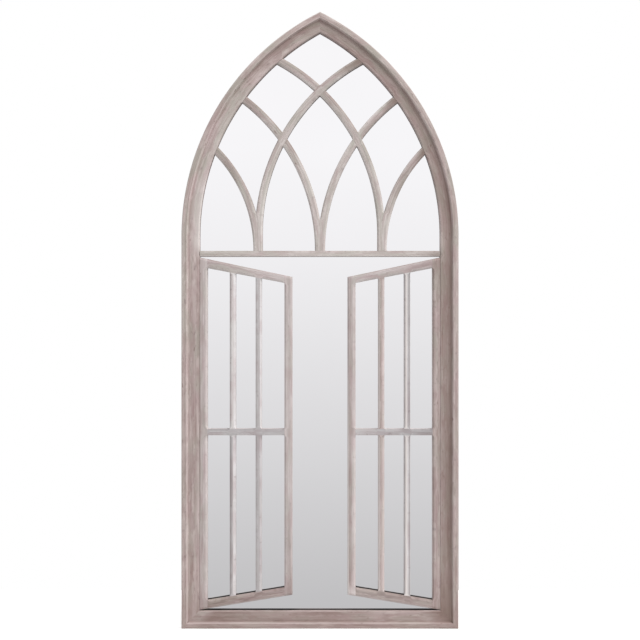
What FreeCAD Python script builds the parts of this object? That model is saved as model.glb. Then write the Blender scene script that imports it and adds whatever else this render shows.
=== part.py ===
import FreeCAD, Part
import math
import os

import Sketcher

# A wall mirror in a pointed-arch frame, with tracery above a transom and two fixed leaves below it.
# Millimetres and degrees. X runs to the right, Z up, and the front faces -Y.
# The front of the glass is y = 0, and the frame stands on z = 0.
# A depth is measured forward of the glass, so a point at depth d lies at y = -d.

SIZES = [
    # Frame
    ("overall_width", 808, "outside of one jamb to outside of the other"),
    ("springing_height", 1145, "underside to the line where the jambs turn into the arch"),
    ("arch_radius", 731, "outside of each arch rib"),
    ("frame_width", 53, "frame members, outside edge to sight edge"),
    ("rim_width", 15, "raised rim along the outside"),
    ("rim_front", 30, "depth of the rim"),
    ("rim_ease", 2, "bevel on the outside front edge"),
    ("step_run", 5.5, "width of the slope from rim to band"),
    ("band_front", 22, "depth of the flat band"),
    ("sight_bevel", 3, "bevel along the sight edge"),
    ("glass_lap", 8, "how far the glass reaches behind the sight edge"),
    ("board_lap", 18, "how far the backing board reaches behind the sight edge"),
    ("glass_thickness", 4, "mirror glass"),
    ("glass_play", 0.3, "room between the glass and the backing board"),
    ("board_thickness", 6, "backing board"),
    ("edge_play", 0.8, "room around the glass and the backing board"),
    ("arch_sweep", 80, "angle turned by an arch rib before it is mitred"),
    # Loose tongues in the joints of the frame
    ("tongue_thickness", 6, "loose tongue"),
    ("tongue_back", 4, "depth of the tongue's back face"),
    ("tongue_width", 22, "tongue along the joint"),
    ("tongue_reach", 15, "tongue into each member"),
    ("tongue_play", 0.2, "room around a tongue"),
    # Transom and tracery
    ("lattice_stand", 2, "gap between the lattice and the glass, filled by pads"),
    ("tracery_front", 22, "depth of the front of transom and ribs"),
    ("transom_drop", 43, "springing line down to the top of the transom"),
    ("transom_height", 16, "transom"),
    ("transom_bevel", 2.5, "bevel on the transom's front edges"),
    ("transom_tenon_height", 9, "tenon at the transom's ends"),
    ("lattice_gap", 0.4, "gap between the lattice and the frame"),
    ("foot_spacing", 181, "middle of the transom to an outer foot of the tracery"),
    ("rib_width", 22, "tracery rib"),
    ("rib_bevel", 4, "bevel on a rib's front edges"),
    ("long_rib_radius", 572.5, "middle line of a long rib"),
    ("long_rib_stem", 53, "straight foot of a long rib"),
    ("long_rib_shift", 2.4, "middle line of a long rib beside its foot"),
    ("middle_rib_radius", 556, "middle line of a middle rib"),
    ("middle_rib_stem", 1, "straight foot of a middle rib"),
    ("middle_rib_shift", 3.9, "middle line of a middle rib beside its foot"),
    ("short_rib_radius", 415, "middle line of a short rib"),
    ("short_rib_stem", 1, "straight foot of a short rib"),
    ("short_rib_shift", 2.6, "middle line of a short rib beside its foot"),
    ("lap_play", 0.2, "room in a half-lap joint"),
    # Leaves
    ("leaf_front", 22, "depth of the front of a leaf"),
    ("leaf_width", 270, "hinge edge to free edge"),
    ("leaf_top_gap", 3, "transom to the leaf, at the hinge edge"),
    ("leaf_top_drop", 57, "fall of the top edge from hinge edge to free edge"),
    ("leaf_base_gap", 1, "sill to the leaf, at the hinge edge"),
    ("leaf_base_rise", 44, "rise of the bottom edge from hinge edge to free edge"),
    ("stile_width", 23.3, "both stiles"),
    ("top_rail_hinge", 27, "top rail at the hinge edge"),
    ("top_rail_free", 22, "top rail at the free edge"),
    ("bottom_rail_height", 26.5, "bottom rail"),
    ("mid_rail_middle", 573, "middle of the level rail"),
    ("mid_rail_height", 19, "level rail"),
    ("bar_width", 18, "glazing bars"),
    ("outer_bar_inset", 96, "hinge edge to the middle of the outer bar"),
    ("inner_bar_inset", 171.5, "hinge edge to the middle of the inner bar"),
    ("pane_bevel", 5, "bevel round each pane, across and in depth"),
    ("leaf_edge_bevel", 3.5, "bevel along a leaf's top, free and bottom edges"),
    # Stub tenons of leaves and transom
    ("stub_length", 8, "stub tenon"),
    ("stub_height", 11, "stub tenon across the member"),
    ("stub_back", 8.5, "depth of the stub tenon's back face"),
    ("stub_thickness", 7, "stub tenon"),
    ("bar_tenon_width", 9, "stub tenon at an end of a glazing bar"),
    ("stub_play", 0.2, "room round a stub tenon"),
    # Mounting pads
    ("pad_radius", 6, "adhesive pad"),
    ("pad_clearance", 45, "rail of a leaf to the nearest pad"),
    ("transom_pad_reach", 90, "middle of the transom to its first pad"),
    ("rib_pad_reach", 110, "straight foot of a rib to its first pad"),
    ("rib_pad_margin", 45, "second pad along a rib to the frame"),
    # Backing screws
    ("screw_margin", 5, "edge of the glass rebate to a backing screw"),
    ("screw_radius", 1.75, "shank of all screws"),
    ("screw_head_radius", 3.4, "pan head"),
    ("screw_head_height", 2, "pan head"),
    ("screw_bite", 10, "shank in the frame"),
    ("screw_tip", 2, "point of a screw"),
    ("screw_play", 0.15, "room round a shank"),
    ("jamb_screw_first", 200, "underside to a jamb's first screw"),
    ("jamb_screw_pitch", 360, "screw to screw along a jamb"),
    ("sill_screw_reach", 180, "middle of the sill to a screw"),
    ("arch_screw_first", 15, "angle from the springing line to an arch rib's first screw"),
    ("arch_screw_pitch", 25, "angle from screw to screw along an arch rib"),
    # Hangers
    ("hanger_inset", 17.5, "outside of the frame to the middle of a hanger"),
    ("hanger_drop", 65, "springing line down to the pivot of a hanger ring"),
    ("strap_width", 17, "hanger strap"),
    ("strap_length", 44, "pivot to the strap's lower end"),
    ("strap_thickness", 1.5, "strap and its rolled eye"),
    ("strap_screw_first", 13, "pivot to the first screw"),
    ("strap_screw_pitch", 23, "screw to screw along the strap"),
    ("wire_radius", 2, "wire of a ring"),
    ("eye_play", 0.3, "room between the wire and the rolled eye"),
    ("ring_side_play", 0.5, "eye to the bends of the ring, either side"),
    ("ring_corner", 6, "bend at the ends of the straight bar"),
    ("ring_leg", 4, "straight side of the ring"),
    # Wall bumpers
    ("bumper_radius", 12, "bumper at the frame"),
    ("bumper_tip_radius", 10, "bumper at the wall"),
    ("bumper_thickness", 8.5, "bumper"),
    ("bumper_height", 80, "underside to the middle of a bumper"),
]

# How far a cutting outline runs past the material that it cuts away.
OVERRUN = 6
# The least volume that counts as a cut, and how near a point on a plane has to be.
LEAST_CUT = 0.5
ON_PLANE = 0.001
FULL_TURN = 2 * math.pi
DEGREES = 180 / math.pi
# A pocket with this taper gets narrower as fast as it gets deeper.
BEVEL_TAPER = -45
SCREWS_ON_A_JAMB = 3
SCREWS_ON_AN_ARCH_RIB = 2


class Size:
    """A length held twice: as a number to draw with and as the sheet formula that drives it."""

    def __init__(self, number, formula):
        self.number = number
        self.formula = formula

    def __add__(self, other):
        other = as_size(other)
        return Size(self.number + other.number, f"({self.formula} + {other.formula})")

    def __sub__(self, other):
        other = as_size(other)
        return Size(self.number - other.number, f"({self.formula} - {other.formula})")

    def __mul__(self, other):
        other = as_size(other)
        return Size(self.number * other.number, f"({self.formula} * {other.formula})")

    def __truediv__(self, other):
        other = as_size(other)
        return Size(self.number / other.number, f"({self.formula} / {other.formula})")

    def __rsub__(self, other):
        return as_size(other) - self

    def __neg__(self):
        return self * -1

    __rmul__ = __mul__
    __radd__ = __add__


def as_size(value):
    """A plain number as a size that nothing drives."""
    if isinstance(value, Size):
        return value
    return Size(value, f"({value})")


def root(size):
    return Size(math.sqrt(size.number), f"sqrt({size.formula})")


def cosine(angle):
    return Size(math.cos(math.radians(angle.number)), f"cos({angle.formula})")


def sine(angle):
    return Size(math.sin(math.radians(angle.number)), f"sin({angle.formula})")


document = FreeCAD.newDocument("wall_mirror")
sheet = document.addObject("Spreadsheet::Sheet", "Sizes")
size = {}
for row, (name, number, meaning) in enumerate(SIZES, 1):
    sheet.set(f"A{row}", name)
    sheet.set(f"B{row}", str(number))
    sheet.set(f"C{row}", meaning)
    sheet.setAlias(f"B{row}", name)
    size[name] = Size(number, f"Sizes.{name}")
document.recompute()
worked_sheet = document.addObject("Spreadsheet::Sheet", "Worked")
worked = []
pieces = []


def keep(name, amount):
    """A worked-out size in a cell of its own, so that formulas built on it stay short."""
    worked.append(name)
    row = len(worked)
    worked_sheet.set(f"A{row}", name)
    worked_sheet.set(f"B{row}", f"={amount.formula}")
    worked_sheet.setAlias(f"B{row}", name)
    worked_sheet.recompute()
    return Size(amount.number, f"Worked.{name}")


# Drawing and shaping

def bind(thing, property_name, amount):
    """Drive a property by the sheet."""
    thing.setExpression(property_name, as_size(amount).formula)


def new_body(name):
    body = document.addObject("PartDesign::Body", name)
    body.Label = name
    pieces.append(body)
    return body


def sketch_on(body, role, name, shift=(0, 0, 0)):
    """A sketch on one of the body's own origin planes, shifted along that plane's axes."""
    sketch = body.newObject("Sketcher::SketchObject", name)
    plane = [feature for feature in body.Origin.OriginFeatures if feature.Role == role][0]
    sketch.AttachmentSupport = [(plane, "")]
    sketch.MapMode = "FlatFace"
    for axis, amount in zip("xyz", shift):
        bind(sketch, f"AttachmentOffset.Base.{axis}", amount)
    return sketch


def corner(across, up, bend=None):
    """A corner of an outline. A bend is the (across, up, radius) of the arc to the next corner."""
    return as_size(across), as_size(up), bend


def side_curve(start, end, bend):
    """The line or the shorter arc between two corners, and the ends of it that they are."""
    if bend is None:
        return Part.LineSegment(start, end), 1, 2
    middle = FreeCAD.Vector(as_size(bend[0]).number, as_size(bend[1]).number, 0)
    circle = Part.Circle(middle, FreeCAD.Vector(0, 0, 1), as_size(bend[2]).number)
    first = math.atan2(start.y - middle.y, start.x - middle.x)
    last = math.atan2(end.y - middle.y, end.x - middle.x)
    turn = (last - first) % FULL_TURN
    if turn < FULL_TURN / 2:
        return Part.ArcOfCircle(circle, first, first + turn), 1, 2
    return Part.ArcOfCircle(circle, last, last + FULL_TURN - turn), 2, 1


def add_driven(sketch, constraints, drivers):
    """Add constraints, and drive those that have a size."""
    first = sketch.ConstraintCount
    sketch.addConstraint(constraints)
    for offset, driver in enumerate(drivers):
        if driver is not None:
            bind(sketch, f"Constraints[{first + offset}]", driver)


def draw(sketch, corners):
    """A closed outline whose corners and arcs are all driven by the sheet."""
    first = sketch.GeometryCount
    points = [FreeCAD.Vector(across.number, up.number, 0) for across, up, bend in corners]
    following = points[1:] + points[:1]
    sides = [side_curve(a, b, entry[2]) for a, b, entry in zip(points, following, corners)]
    sketch.addGeometry([curve for curve, start, end in sides])
    constraints = []
    drivers = []
    for index, (curve, start, end) in enumerate(sides):
        across, up, bend = corners[index]
        after = (index + 1) % len(sides)
        here = first + index
        constraints.append(Sketcher.Constraint("Coincident", here, end, first + after, sides[after][1]))
        constraints.append(Sketcher.Constraint("DistanceX", -1, 1, here, start, across.number))
        constraints.append(Sketcher.Constraint("DistanceY", -1, 1, here, start, up.number))
        drivers += [None, across, up]
        if bend is not None:
            constraints.append(Sketcher.Constraint("Radius", here, as_size(bend[2]).number))
            drivers.append(bend[2])
    add_driven(sketch, constraints, drivers)


def draw_circle(sketch, across, up, radius):
    across, up, radius = as_size(across), as_size(up), as_size(radius)
    here = sketch.GeometryCount
    middle = FreeCAD.Vector(across.number, up.number, 0)
    sketch.addGeometry(Part.Circle(middle, FreeCAD.Vector(0, 0, 1), radius.number))
    constraints = [
        Sketcher.Constraint("DistanceX", -1, 1, here, 3, across.number),
        Sketcher.Constraint("DistanceY", -1, 1, here, 3, up.number),
        Sketcher.Constraint("Radius", here, radius.number),
    ]
    add_driven(sketch, constraints, [across, up, radius])


def pad(body, sketch, length, both_ways=False):
    feature = body.newObject("PartDesign::Pad", f"{sketch.Name}_pad")
    feature.Profile = sketch
    feature.SideType = "Symmetric" if both_ways else "One side"
    bind(feature, "Length", length)
    document.recompute()
    return feature


def cut(body, sketch, depth=None, taper=0):
    """Pocket a sketch, to a depth or right through, and make sure that it took something away."""
    before = body.Shape.Volume
    feature = body.newObject("PartDesign::Pocket", f"{sketch.Name}_cut")
    feature.Profile = sketch
    feature.TaperAngle = taper
    if depth is None:
        feature.Type = "ThroughAll"
        feature.SideType = "Symmetric"
    else:
        bind(feature, "Length", depth)
    document.recompute()
    if body.Shape.Volume > before - LEAST_CUT:
        raise RuntimeError(f"{sketch.Name} cuts nothing from {body.Label}")
    return feature


def slab(body, name, corners, back, front):
    """Pad an outline of the front view from one depth to another."""
    sketch = sketch_on(body, "XZ_Plane", name, (0, 0, back))
    draw(sketch, corners)
    return pad(body, sketch, as_size(front) - back)


def recess(body, name, outlines, front=0, depth=None, taper=0):
    """Cut outlines of the front view backward from a depth, or right through."""
    sketch = sketch_on(body, "XZ_Plane", name, (0, 0, front))
    for corners in outlines:
        draw(sketch, corners)
    return cut(body, sketch, depth, taper)


def drill(body, name, places, radius, front, depth):
    """Round holes backward from a depth."""
    sketch = sketch_on(body, "XZ_Plane", name, (0, 0, front))
    for across, up in places:
        draw_circle(sketch, across, up, radius)
    return cut(body, sketch, depth)


def bevel_front(body, name, amount, front, wanted):
    """Bevel those edges of the front face that are wanted."""
    base = body.Tip
    names = []
    for number, edge in enumerate(base.Shape.Edges, 1):
        at_front = all(abs(vertex.Y + front.number) < ON_PLANE for vertex in edge.Vertexes)
        if at_front and wanted(edge):
            names.append(f"Edge{number}")
    feature = body.newObject("PartDesign::Chamfer", name)
    feature.Base = (base, names)
    bind(feature, "Size", amount)
    document.recompute()
    return feature


def box(left, right, low, high):
    """A rectangle of the front view."""
    return [corner(left, low), corner(right, low), corner(right, high), corner(left, high)]


def along_y(kind, name, across, start, up):
    """A primitive whose own axis runs backward, along +Y, from a start."""
    solid = document.addObject(kind, name)
    turn = FreeCAD.Rotation(FreeCAD.Vector(0, 0, 1), FreeCAD.Vector(0, 1, 0))
    solid.Placement = FreeCAD.Placement(FreeCAD.Vector(0, 0, 0), turn)
    bind(solid, "Placement.Base.x", across)
    bind(solid, "Placement.Base.y", start)
    bind(solid, "Placement.Base.z", up)
    return solid


def group(name, solids):
    """Alike pieces that share a node."""
    compound = document.addObject("Part::Compound", name)
    compound.Label = name
    compound.Links = solids
    pieces.append(compound)
    return compound


# Sizes that several pieces share

SIDES = (("left", -1), ("right", 1))
half_width = size["overall_width"] / 2
arch_offset = size["arch_radius"] - half_width
springing = size["springing_height"]
frame_width = size["frame_width"]
hanger_height = springing - size["hanger_drop"]
screw_inset = frame_width - size["glass_lap"] - size["screw_margin"]
glass_back = size["glass_thickness"] + size["glass_play"]
frame_back = glass_back + size["board_thickness"]
transom_top = springing - size["transom_drop"]
transom_base = transom_top - size["transom_height"]
tracery_front = size["tracery_front"]
lattice_back = size["lattice_stand"]
sight_half = half_width - frame_width


def arch_peak(inset):
    """Height of the point of an arch that lies inset from the outside."""
    radius = size["arch_radius"] - inset
    return springing + root(radius * radius - arch_offset * arch_offset)


def arch_outline(inset, base):
    """The pointed arch that lies inset from the outside, closed by a level line at base."""
    half = half_width - inset
    radius = size["arch_radius"] - inset
    return [
        corner(-half, base),
        corner(half, base),
        corner(half, springing, (-arch_offset, springing, radius)),
        corner(0, arch_peak(inset), (arch_offset, springing, radius)),
        corner(-half, springing),
    ]


# Frame members

def frame_profile():
    """Section of the frame: distance in from the outside edge, and depth."""
    sight = frame_width
    band = size["band_front"]
    glass_edge = sight - size["glass_lap"]
    board_edge = sight - size["board_lap"]
    return [
        (as_size(0), -frame_back),
        (as_size(0), size["rim_front"] - size["rim_ease"]),
        (size["rim_ease"], size["rim_front"]),
        (size["rim_width"], size["rim_front"]),
        (size["rim_width"] + size["step_run"], band),
        (sight - size["sight_bevel"], band),
        (sight, band - size["sight_bevel"]),
        (sight, as_size(0)),
        (glass_edge, as_size(0)),
        (glass_edge, -glass_back),
        (board_edge, -glass_back),
        (board_edge, -frame_back),
    ]


def tongue_outline(joint, side, play):
    """A loose tongue in the front view. Play widens it into its slot."""
    middle = frame_width / 2
    half = size["tongue_width"] / 2 + play
    reach = size["tongue_reach"] + play
    if joint == "corner":
        slant = math.sqrt(1 / 2)
        along = half * slant
        over = reach * slant
        across = half_width - middle
        return [
            corner(side * (across - along + over), middle + along + over),
            corner(side * (across + along + over), middle - along + over),
            corner(side * (across + along - over), middle - along - over),
            corner(side * (across - along - over), middle + along - over),
        ]
    if joint == "springing":
        across = side * (half_width - middle)
        return box(across - half, across + half, springing - reach, springing + reach)
    up = arch_peak(middle)
    return box(-reach, reach, up - half, up + half)


def tongue_slots(body, name, joints):
    """Slots for the tongues at the ends of a frame member."""
    play = size["tongue_play"]
    outlines = [tongue_outline(joint, side, play) for joint, side in joints]
    front = size["tongue_back"] + size["tongue_thickness"] + play
    recess(body, name, outlines, front, size["tongue_thickness"] + play * 2)


def tongue(name, joint, side):
    body = new_body(name)
    back = size["tongue_back"]
    slab(body, f"{name}_outline", tongue_outline(joint, side, 0), back, back + size["tongue_thickness"])


def pilot_holes(body, name, places):
    """Holes for the backing screws, from the board's seat into the frame."""
    reach = size["screw_bite"] + size["screw_tip"]
    radius = size["screw_radius"] + size["screw_play"]
    drill(body, name, places, radius, reach - glass_back, reach + OVERRUN)


def sill_screws():
    reach = size["sill_screw_reach"]
    return [(-reach, screw_inset), (reach, screw_inset)]


def jamb_screws(side):
    across = side * (half_width - screw_inset)
    places = []
    for step in range(SCREWS_ON_A_JAMB):
        places.append((across, size["jamb_screw_first"] + size["jamb_screw_pitch"] * step))
    return places


def arch_screws(side):
    radius = size["arch_radius"] - screw_inset
    places = []
    for step in range(SCREWS_ON_AN_ARCH_RIB):
        angle = size["arch_screw_first"] + size["arch_screw_pitch"] * step
        across = side * (radius * cosine(angle) - arch_offset)
        places.append((across, springing + radius * sine(angle)))
    return places


def strap_screws(side):
    across = side * (half_width - size["hanger_inset"])
    first = hanger_height - size["strap_screw_first"]
    return [(across, first), (across, first - size["strap_screw_pitch"])]


def build_sill():
    body = new_body("sill_rail")
    sketch = sketch_on(body, "YZ_Plane", "sill_profile")
    draw(sketch, [corner(-depth, inset) for inset, depth in frame_profile()])
    pad(body, sketch, size["overall_width"], both_ways=True)
    past = frame_width + OVERRUN
    mitres = []
    for name, side in SIDES:
        outside = side * half_width
        mitres.append([
            corner(outside, 0),
            corner(outside - past * side, past),
            corner(outside, past),
        ])
    recess(body, "sill_mitres", mitres)
    tongue_slots(body, "sill_slots", [("corner", side) for name, side in SIDES])
    pilot_holes(body, "sill_holes", sill_screws())


def build_jamb(name, side):
    body = new_body(f"{name}_jamb")
    sketch = sketch_on(body, "XY_Plane", f"{name}_jamb_profile")
    draw(sketch, [corner(side * (half_width - inset), -depth) for inset, depth in frame_profile()])
    pad(body, sketch, springing)
    past = frame_width + OVERRUN
    outside = side * half_width
    mitre = [corner(outside, 0), corner(outside - past * side, past), corner(outside - past * side, 0)]
    recess(body, f"{name}_jamb_mitre", [mitre])
    tongue_slots(body, f"{name}_jamb_slots", [("corner", side), ("springing", side)])
    mortise(body, f"{name}_transom_mortise", transom_tenon(side, size["stub_play"]))
    pilot_holes(body, f"{name}_jamb_holes", jamb_screws(side))
    radius = size["screw_radius"] + size["screw_play"]
    reach = size["screw_bite"] + size["screw_tip"]
    drill(body, f"{name}_hanger_holes", strap_screws(side), radius, reach - frame_back, reach + OVERRUN)


def build_arch_rib(name, side):
    """The frame's section turned about the middle of its arc, and mitred at the point."""
    body = new_body(f"{name}_arch_rib")
    sketch = sketch_on(body, "XY_Plane", f"{name}_arch_profile", (-side * arch_offset, 0, springing))
    radius = size["arch_radius"]
    draw(sketch, [corner(side * (radius - inset), -depth) for inset, depth in frame_profile()])
    turned = body.newObject("PartDesign::Revolution", f"{name}_arch_turn")
    turned.Profile = sketch
    turned.ReferenceAxis = (sketch, ["V_Axis"])
    turned.Reversed = side > 0
    bind(turned, "Angle", size["arch_sweep"])
    document.recompute()
    past = box(0, -side * half_width, springing, arch_peak(0) + half_width)
    recess(body, f"{name}_arch_mitre", [past])
    tongue_slots(body, f"{name}_arch_slots", [("springing", side), ("apex", side)])
    pilot_holes(body, f"{name}_arch_holes", arch_screws(side))


# Transom and tracery

def mortise(body, name, outline):
    """A blind slot for a stub tenon."""
    play = size["stub_play"]
    front = size["stub_back"] + size["stub_thickness"] + play
    recess(body, name, [outline], front, size["stub_thickness"] + play * 2)


def tenon(body, name, outline):
    slab(body, name, outline, size["stub_back"], size["stub_back"] + size["stub_thickness"])


def transom_tenon(side, play):
    """Stub tenon at an end of the transom. Play widens it into its mortise."""
    half = size["transom_tenon_height"] / 2 + play
    middle = transom_base + size["transom_height"] / 2
    root_line = side * (sight_half - size["lattice_gap"] - play)
    return box(root_line, side * (sight_half + size["stub_length"] + play), middle - half, middle + half)


def build_transom():
    body = new_body("transom")
    end = sight_half - size["lattice_gap"]
    slab(body, "transom_outline", box(-end, end, transom_base, transom_top), lattice_back, tracery_front)
    longest_end = size["transom_height"].number + ON_PLANE
    bevel_front(body, "transom_bevels", size["transom_bevel"], tracery_front,
                lambda edge: edge.Length > longest_end)
    for name, side in SIDES:
        tenon(body, f"transom_{name}_tenon", transom_tenon(side, 0))


class Rib:
    """A rib of the tracery: a short straight foot on the transom, then one arc to the frame."""

    def __init__(self, name, kind, foot, lean, shift):
        self.name = name
        self.kind = kind
        self.foot = as_size(foot)
        self.lean = lean
        self.radius = size[f"{kind}_rib_radius"]
        self.level = transom_top + size[f"{kind}_rib_stem"]
        self.middle = self.foot + shift + self.radius * lean
        self.meet_frame()

    def meet_frame(self):
        """Work out where the middle line meets the frame, which is where two circles cross.

        They are the rib's own and the sight edge's. The place is kept as the run and rise of a unit
        step from the middle of the rib's circle.
        """
        run = self.middle * self.lean + arch_offset
        rise = self.level - springing
        apart = keep(f"{self.name}_{self.kind}_apart", root(run * run + rise * rise))
        sight = size["arch_radius"] - frame_width
        along = (self.radius * self.radius - sight * sight + apart * apart) / (apart * 2)
        along = keep(f"{self.name}_{self.kind}_along", along)
        beside = keep(f"{self.name}_{self.kind}_beside", root(self.radius * self.radius - along * along))
        reach = apart * self.radius
        self.end_run = keep(f"{self.name}_{self.kind}_run", -(along * run + beside * rise) / reach)
        self.end_rise = keep(f"{self.name}_{self.kind}_rise", (beside * run - along * rise) / reach)

    def past_frame(self, distance):
        """Run and rise of the unit step to a point that lies a distance past the frame's sight edge."""
        angle = as_size(distance) / self.radius * DEGREES
        run = self.end_run * cosine(angle) + self.end_rise * sine(angle)
        rise = self.end_rise * cosine(angle) - self.end_run * sine(angle)
        return run * self.lean, rise

    def strip(self, play=0):
        """Outline of the whole rib, before it is trimmed to the arch."""
        outer = self.radius + size["rib_width"] / 2 + play
        inner = self.radius - size["rib_width"] / 2 - play
        run, rise = self.past_frame(frame_width)
        return [
            corner(self.middle - outer * self.lean, transom_top),
            corner(self.middle - outer * self.lean, self.level, (self.middle, self.level, outer)),
            corner(self.middle + outer * run, self.level + outer * rise),
            corner(self.middle + inner * run, self.level + inner * rise, (self.middle, self.level, inner)),
            corner(self.middle - inner * self.lean, self.level),
            corner(self.middle - inner * self.lean, transom_top),
        ]

    def low_place(self):
        """The point of the middle line that lies a pad's reach above the straight foot."""
        angle = size["rib_pad_reach"] / self.radius * DEGREES
        across = self.middle - self.radius * cosine(angle) * self.lean
        return across, self.level + self.radius * sine(angle)

    def high_place(self):
        """The point of the middle line that lies a pad's margin short of the frame."""
        run, rise = self.past_frame(-size["rib_pad_margin"])
        return self.middle + self.radius * run, self.level + self.radius * rise


def tracery():
    """The six ribs. A rib is named for the side of the transom that it stands on or leans to."""
    ribs = {}
    for name, side in SIDES:
        foot = side * size["foot_spacing"]
        ribs[name, "long"] = Rib(name, "long", foot, -side, -side * size["long_rib_shift"])
        ribs[name, "middle"] = Rib(name, "middle", 0, side, side * size["middle_rib_shift"])
        ribs[name, "short"] = Rib(name, "short", foot, side, side * size["short_rib_shift"])
    return ribs


def foot_waste(rib, neighbour):
    """What a rib gives up to the rib beside it, on the other side of the plane through their foot.

    A long rib leaves that plane higher up than the short rib beside it, so it is only cut back as
    far as the short rib's outer edge.
    """
    low = transom_top - OVERRUN
    if rib.kind != "long":
        far = rib.foot - size["rib_width"] * rib.lean
        return box(rib.foot, far, low, springing + size["foot_spacing"])
    edge = neighbour.radius + size["rib_width"] / 2 + size["lap_play"]
    across = rib.foot - neighbour.middle
    meet = neighbour.level + root(edge * edge - across * across)
    run, rise = neighbour.past_frame(0)
    far = neighbour.middle + edge * run
    return [
        corner(rib.foot, low),
        corner(rib.foot, meet, (neighbour.middle, neighbour.level, edge)),
        corner(far, neighbour.level + edge * rise),
        corner(far, low),
    ]


def outside_arch():
    """All that lies outside the frame's opening, above the transom."""
    wide = half_width + size["foot_spacing"]
    low = transom_top - OVERRUN * 2
    frame = box(-wide, wide, low, arch_peak(0) + size["foot_spacing"])
    return [frame, arch_outline(frame_width + size["lattice_gap"], transom_top - OVERRUN)]


def build_rib(rib, neighbour, over, under):
    """Bend, bevel, trim and joint one rib.

    It passes in front of the ribs in over, and behind the ribs in under.
    """
    name = f"{rib.name}_{rib.kind}_rib"
    body = new_body(name)
    slab(body, f"{name}_strip", rib.strip(), lattice_back, tracery_front)
    foot_line = transom_top.number + ON_PLANE
    bevel_front(body, f"{name}_bevels", size["rib_bevel"], tracery_front,
                lambda edge: any(vertex.Z > foot_line for vertex in edge.Vertexes))
    recess(body, f"{name}_trim", outside_arch())
    recess(body, f"{name}_foot", [foot_waste(rib, neighbour)])
    lap = (tracery_front + lattice_back) / 2
    play = size["lap_play"]
    for other in over:
        label = f"{name}_over_{other.name}_{other.kind}"
        recess(body, label, [other.strip(play)], lap + play, lap + play - lattice_back + OVERRUN)
    for other in under:
        label = f"{name}_under_{other.name}_{other.kind}"
        recess(body, label, [other.strip(play)], tracery_front + OVERRUN, tracery_front + OVERRUN - lap)


def build_tracery(ribs):
    left_long = ribs["left", "long"]
    right_long = ribs["right", "long"]
    left_middle = ribs["left", "middle"]
    right_middle = ribs["right", "middle"]
    left_short = ribs["left", "short"]
    right_short = ribs["right", "short"]
    build_rib(left_long, left_short, [right_long, left_middle], [])
    build_rib(right_long, right_short, [right_middle], [left_long])
    build_rib(left_middle, right_middle, [], [left_long])
    build_rib(right_middle, left_middle, [], [right_long])
    build_rib(left_short, left_long, [], [])
    build_rib(right_short, right_long, [], [])


# Leaves

class Leaf:
    """The lines of one leaf. Distances across are measured from the middle of the mirror."""

    def __init__(self, name, side):
        self.name = name
        self.side = side
        self.hinge = sight_half - size["lattice_gap"]
        self.free = self.hinge - size["leaf_width"]
        self.stile_hinge = self.hinge - size["stile_width"]
        self.stile_free = self.free + size["stile_width"]
        self.bars = {
            "outer": self.hinge - size["outer_bar_inset"],
            "inner": self.hinge - size["inner_bar_inset"],
        }
        top = transom_base - size["leaf_top_gap"]
        base = frame_width + size["leaf_base_gap"]
        drop = size["leaf_top_drop"]
        rise = size["leaf_base_rise"]
        self.top = self.line(top, top - drop)
        self.top_under = self.line(top - size["top_rail_hinge"], top - drop - size["top_rail_free"])
        self.base = self.line(base, base + rise)
        height = size["bottom_rail_height"]
        self.base_over = self.line(base + height, base + rise + height)
        half_rail = size["mid_rail_height"] / 2
        self.mid_low = self.line(size["mid_rail_middle"] - half_rail, size["mid_rail_middle"] - half_rail)
        self.mid_high = self.line(size["mid_rail_middle"] + half_rail, size["mid_rail_middle"] + half_rail)

    def line(self, at_hinge, at_free):
        """A straight line over the leaf, as a function of the distance across and a shift up."""
        def level(across, shift=0):
            return at_hinge + (at_free - at_hinge) * (self.hinge - across) / size["leaf_width"] + shift
        return level

    def quad(self, near, far, low, high, low_shift=0, high_shift=0):
        """The outline between two uprights and two lines."""
        return [
            corner(near * self.side, low(near, low_shift)),
            corner(far * self.side, low(far, low_shift)),
            corner(far * self.side, high(far, high_shift)),
            corner(near * self.side, high(near, high_shift)),
        ]

    def pane(self, column, row):
        """A pane's outline at the front, where its bevel is widest."""
        half = size["bar_width"] / 2
        edges = [
            (self.stile_hinge, self.bars["outer"] + half),
            (self.bars["outer"] - half, self.bars["inner"] + half),
            (self.bars["inner"] - half, self.stile_free),
        ]
        near, far = edges[column]
        low, high = [(self.base_over, self.mid_low), (self.mid_high, self.top_under)][row]
        bevel = size["pane_bevel"]
        return self.quad(near + bevel, far - bevel, low, high, -bevel, bevel)


def bevel_panes(body, name, leaf, columns, rows):
    """Slope the member's edges towards the panes beside it."""
    outlines = [leaf.pane(column, row) for column in columns for row in rows]
    recess(body, name, outlines, size["leaf_front"], size["pane_bevel"], taper=BEVEL_TAPER)


def bevel_outside(body, name, middles):
    """Bevel the front edges whose middles are given, as a distance across and a height."""
    def wanted(edge):
        centre = edge.CenterOfMass
        for across, up in middles:
            if math.hypot(centre.x - across.number, centre.z - up.number) < ON_PLANE:
                return True
        return False
    bevel_front(body, name, size["leaf_edge_bevel"], size["leaf_front"], wanted)


def rail_tenon(leaf, low, high, at_hinge, play):
    """Stub tenon at one end of a rail. Play widens it into its mortise."""
    root_line = leaf.stile_hinge if at_hinge else leaf.stile_free
    outward = 1 if at_hinge else -1
    middle = (low(root_line) + high(root_line)) / 2
    half = size["stub_height"] / 2 + play
    tip = root_line + (size["stub_length"] + play) * outward
    start = (root_line - play * outward) * leaf.side
    return box(start, tip * leaf.side, middle - half, middle + half)


def bar_tenon(leaf, bar, line, upward, play):
    """Stub tenon at one end of a glazing bar. Play widens it into its mortise."""
    half = size["bar_tenon_width"] / 2 + play
    start = -play * upward
    tip = (size["stub_length"] + play) * upward
    middle = leaf.bars[bar]
    return leaf.quad(middle + half, middle - half, line, line, start, tip)


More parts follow.
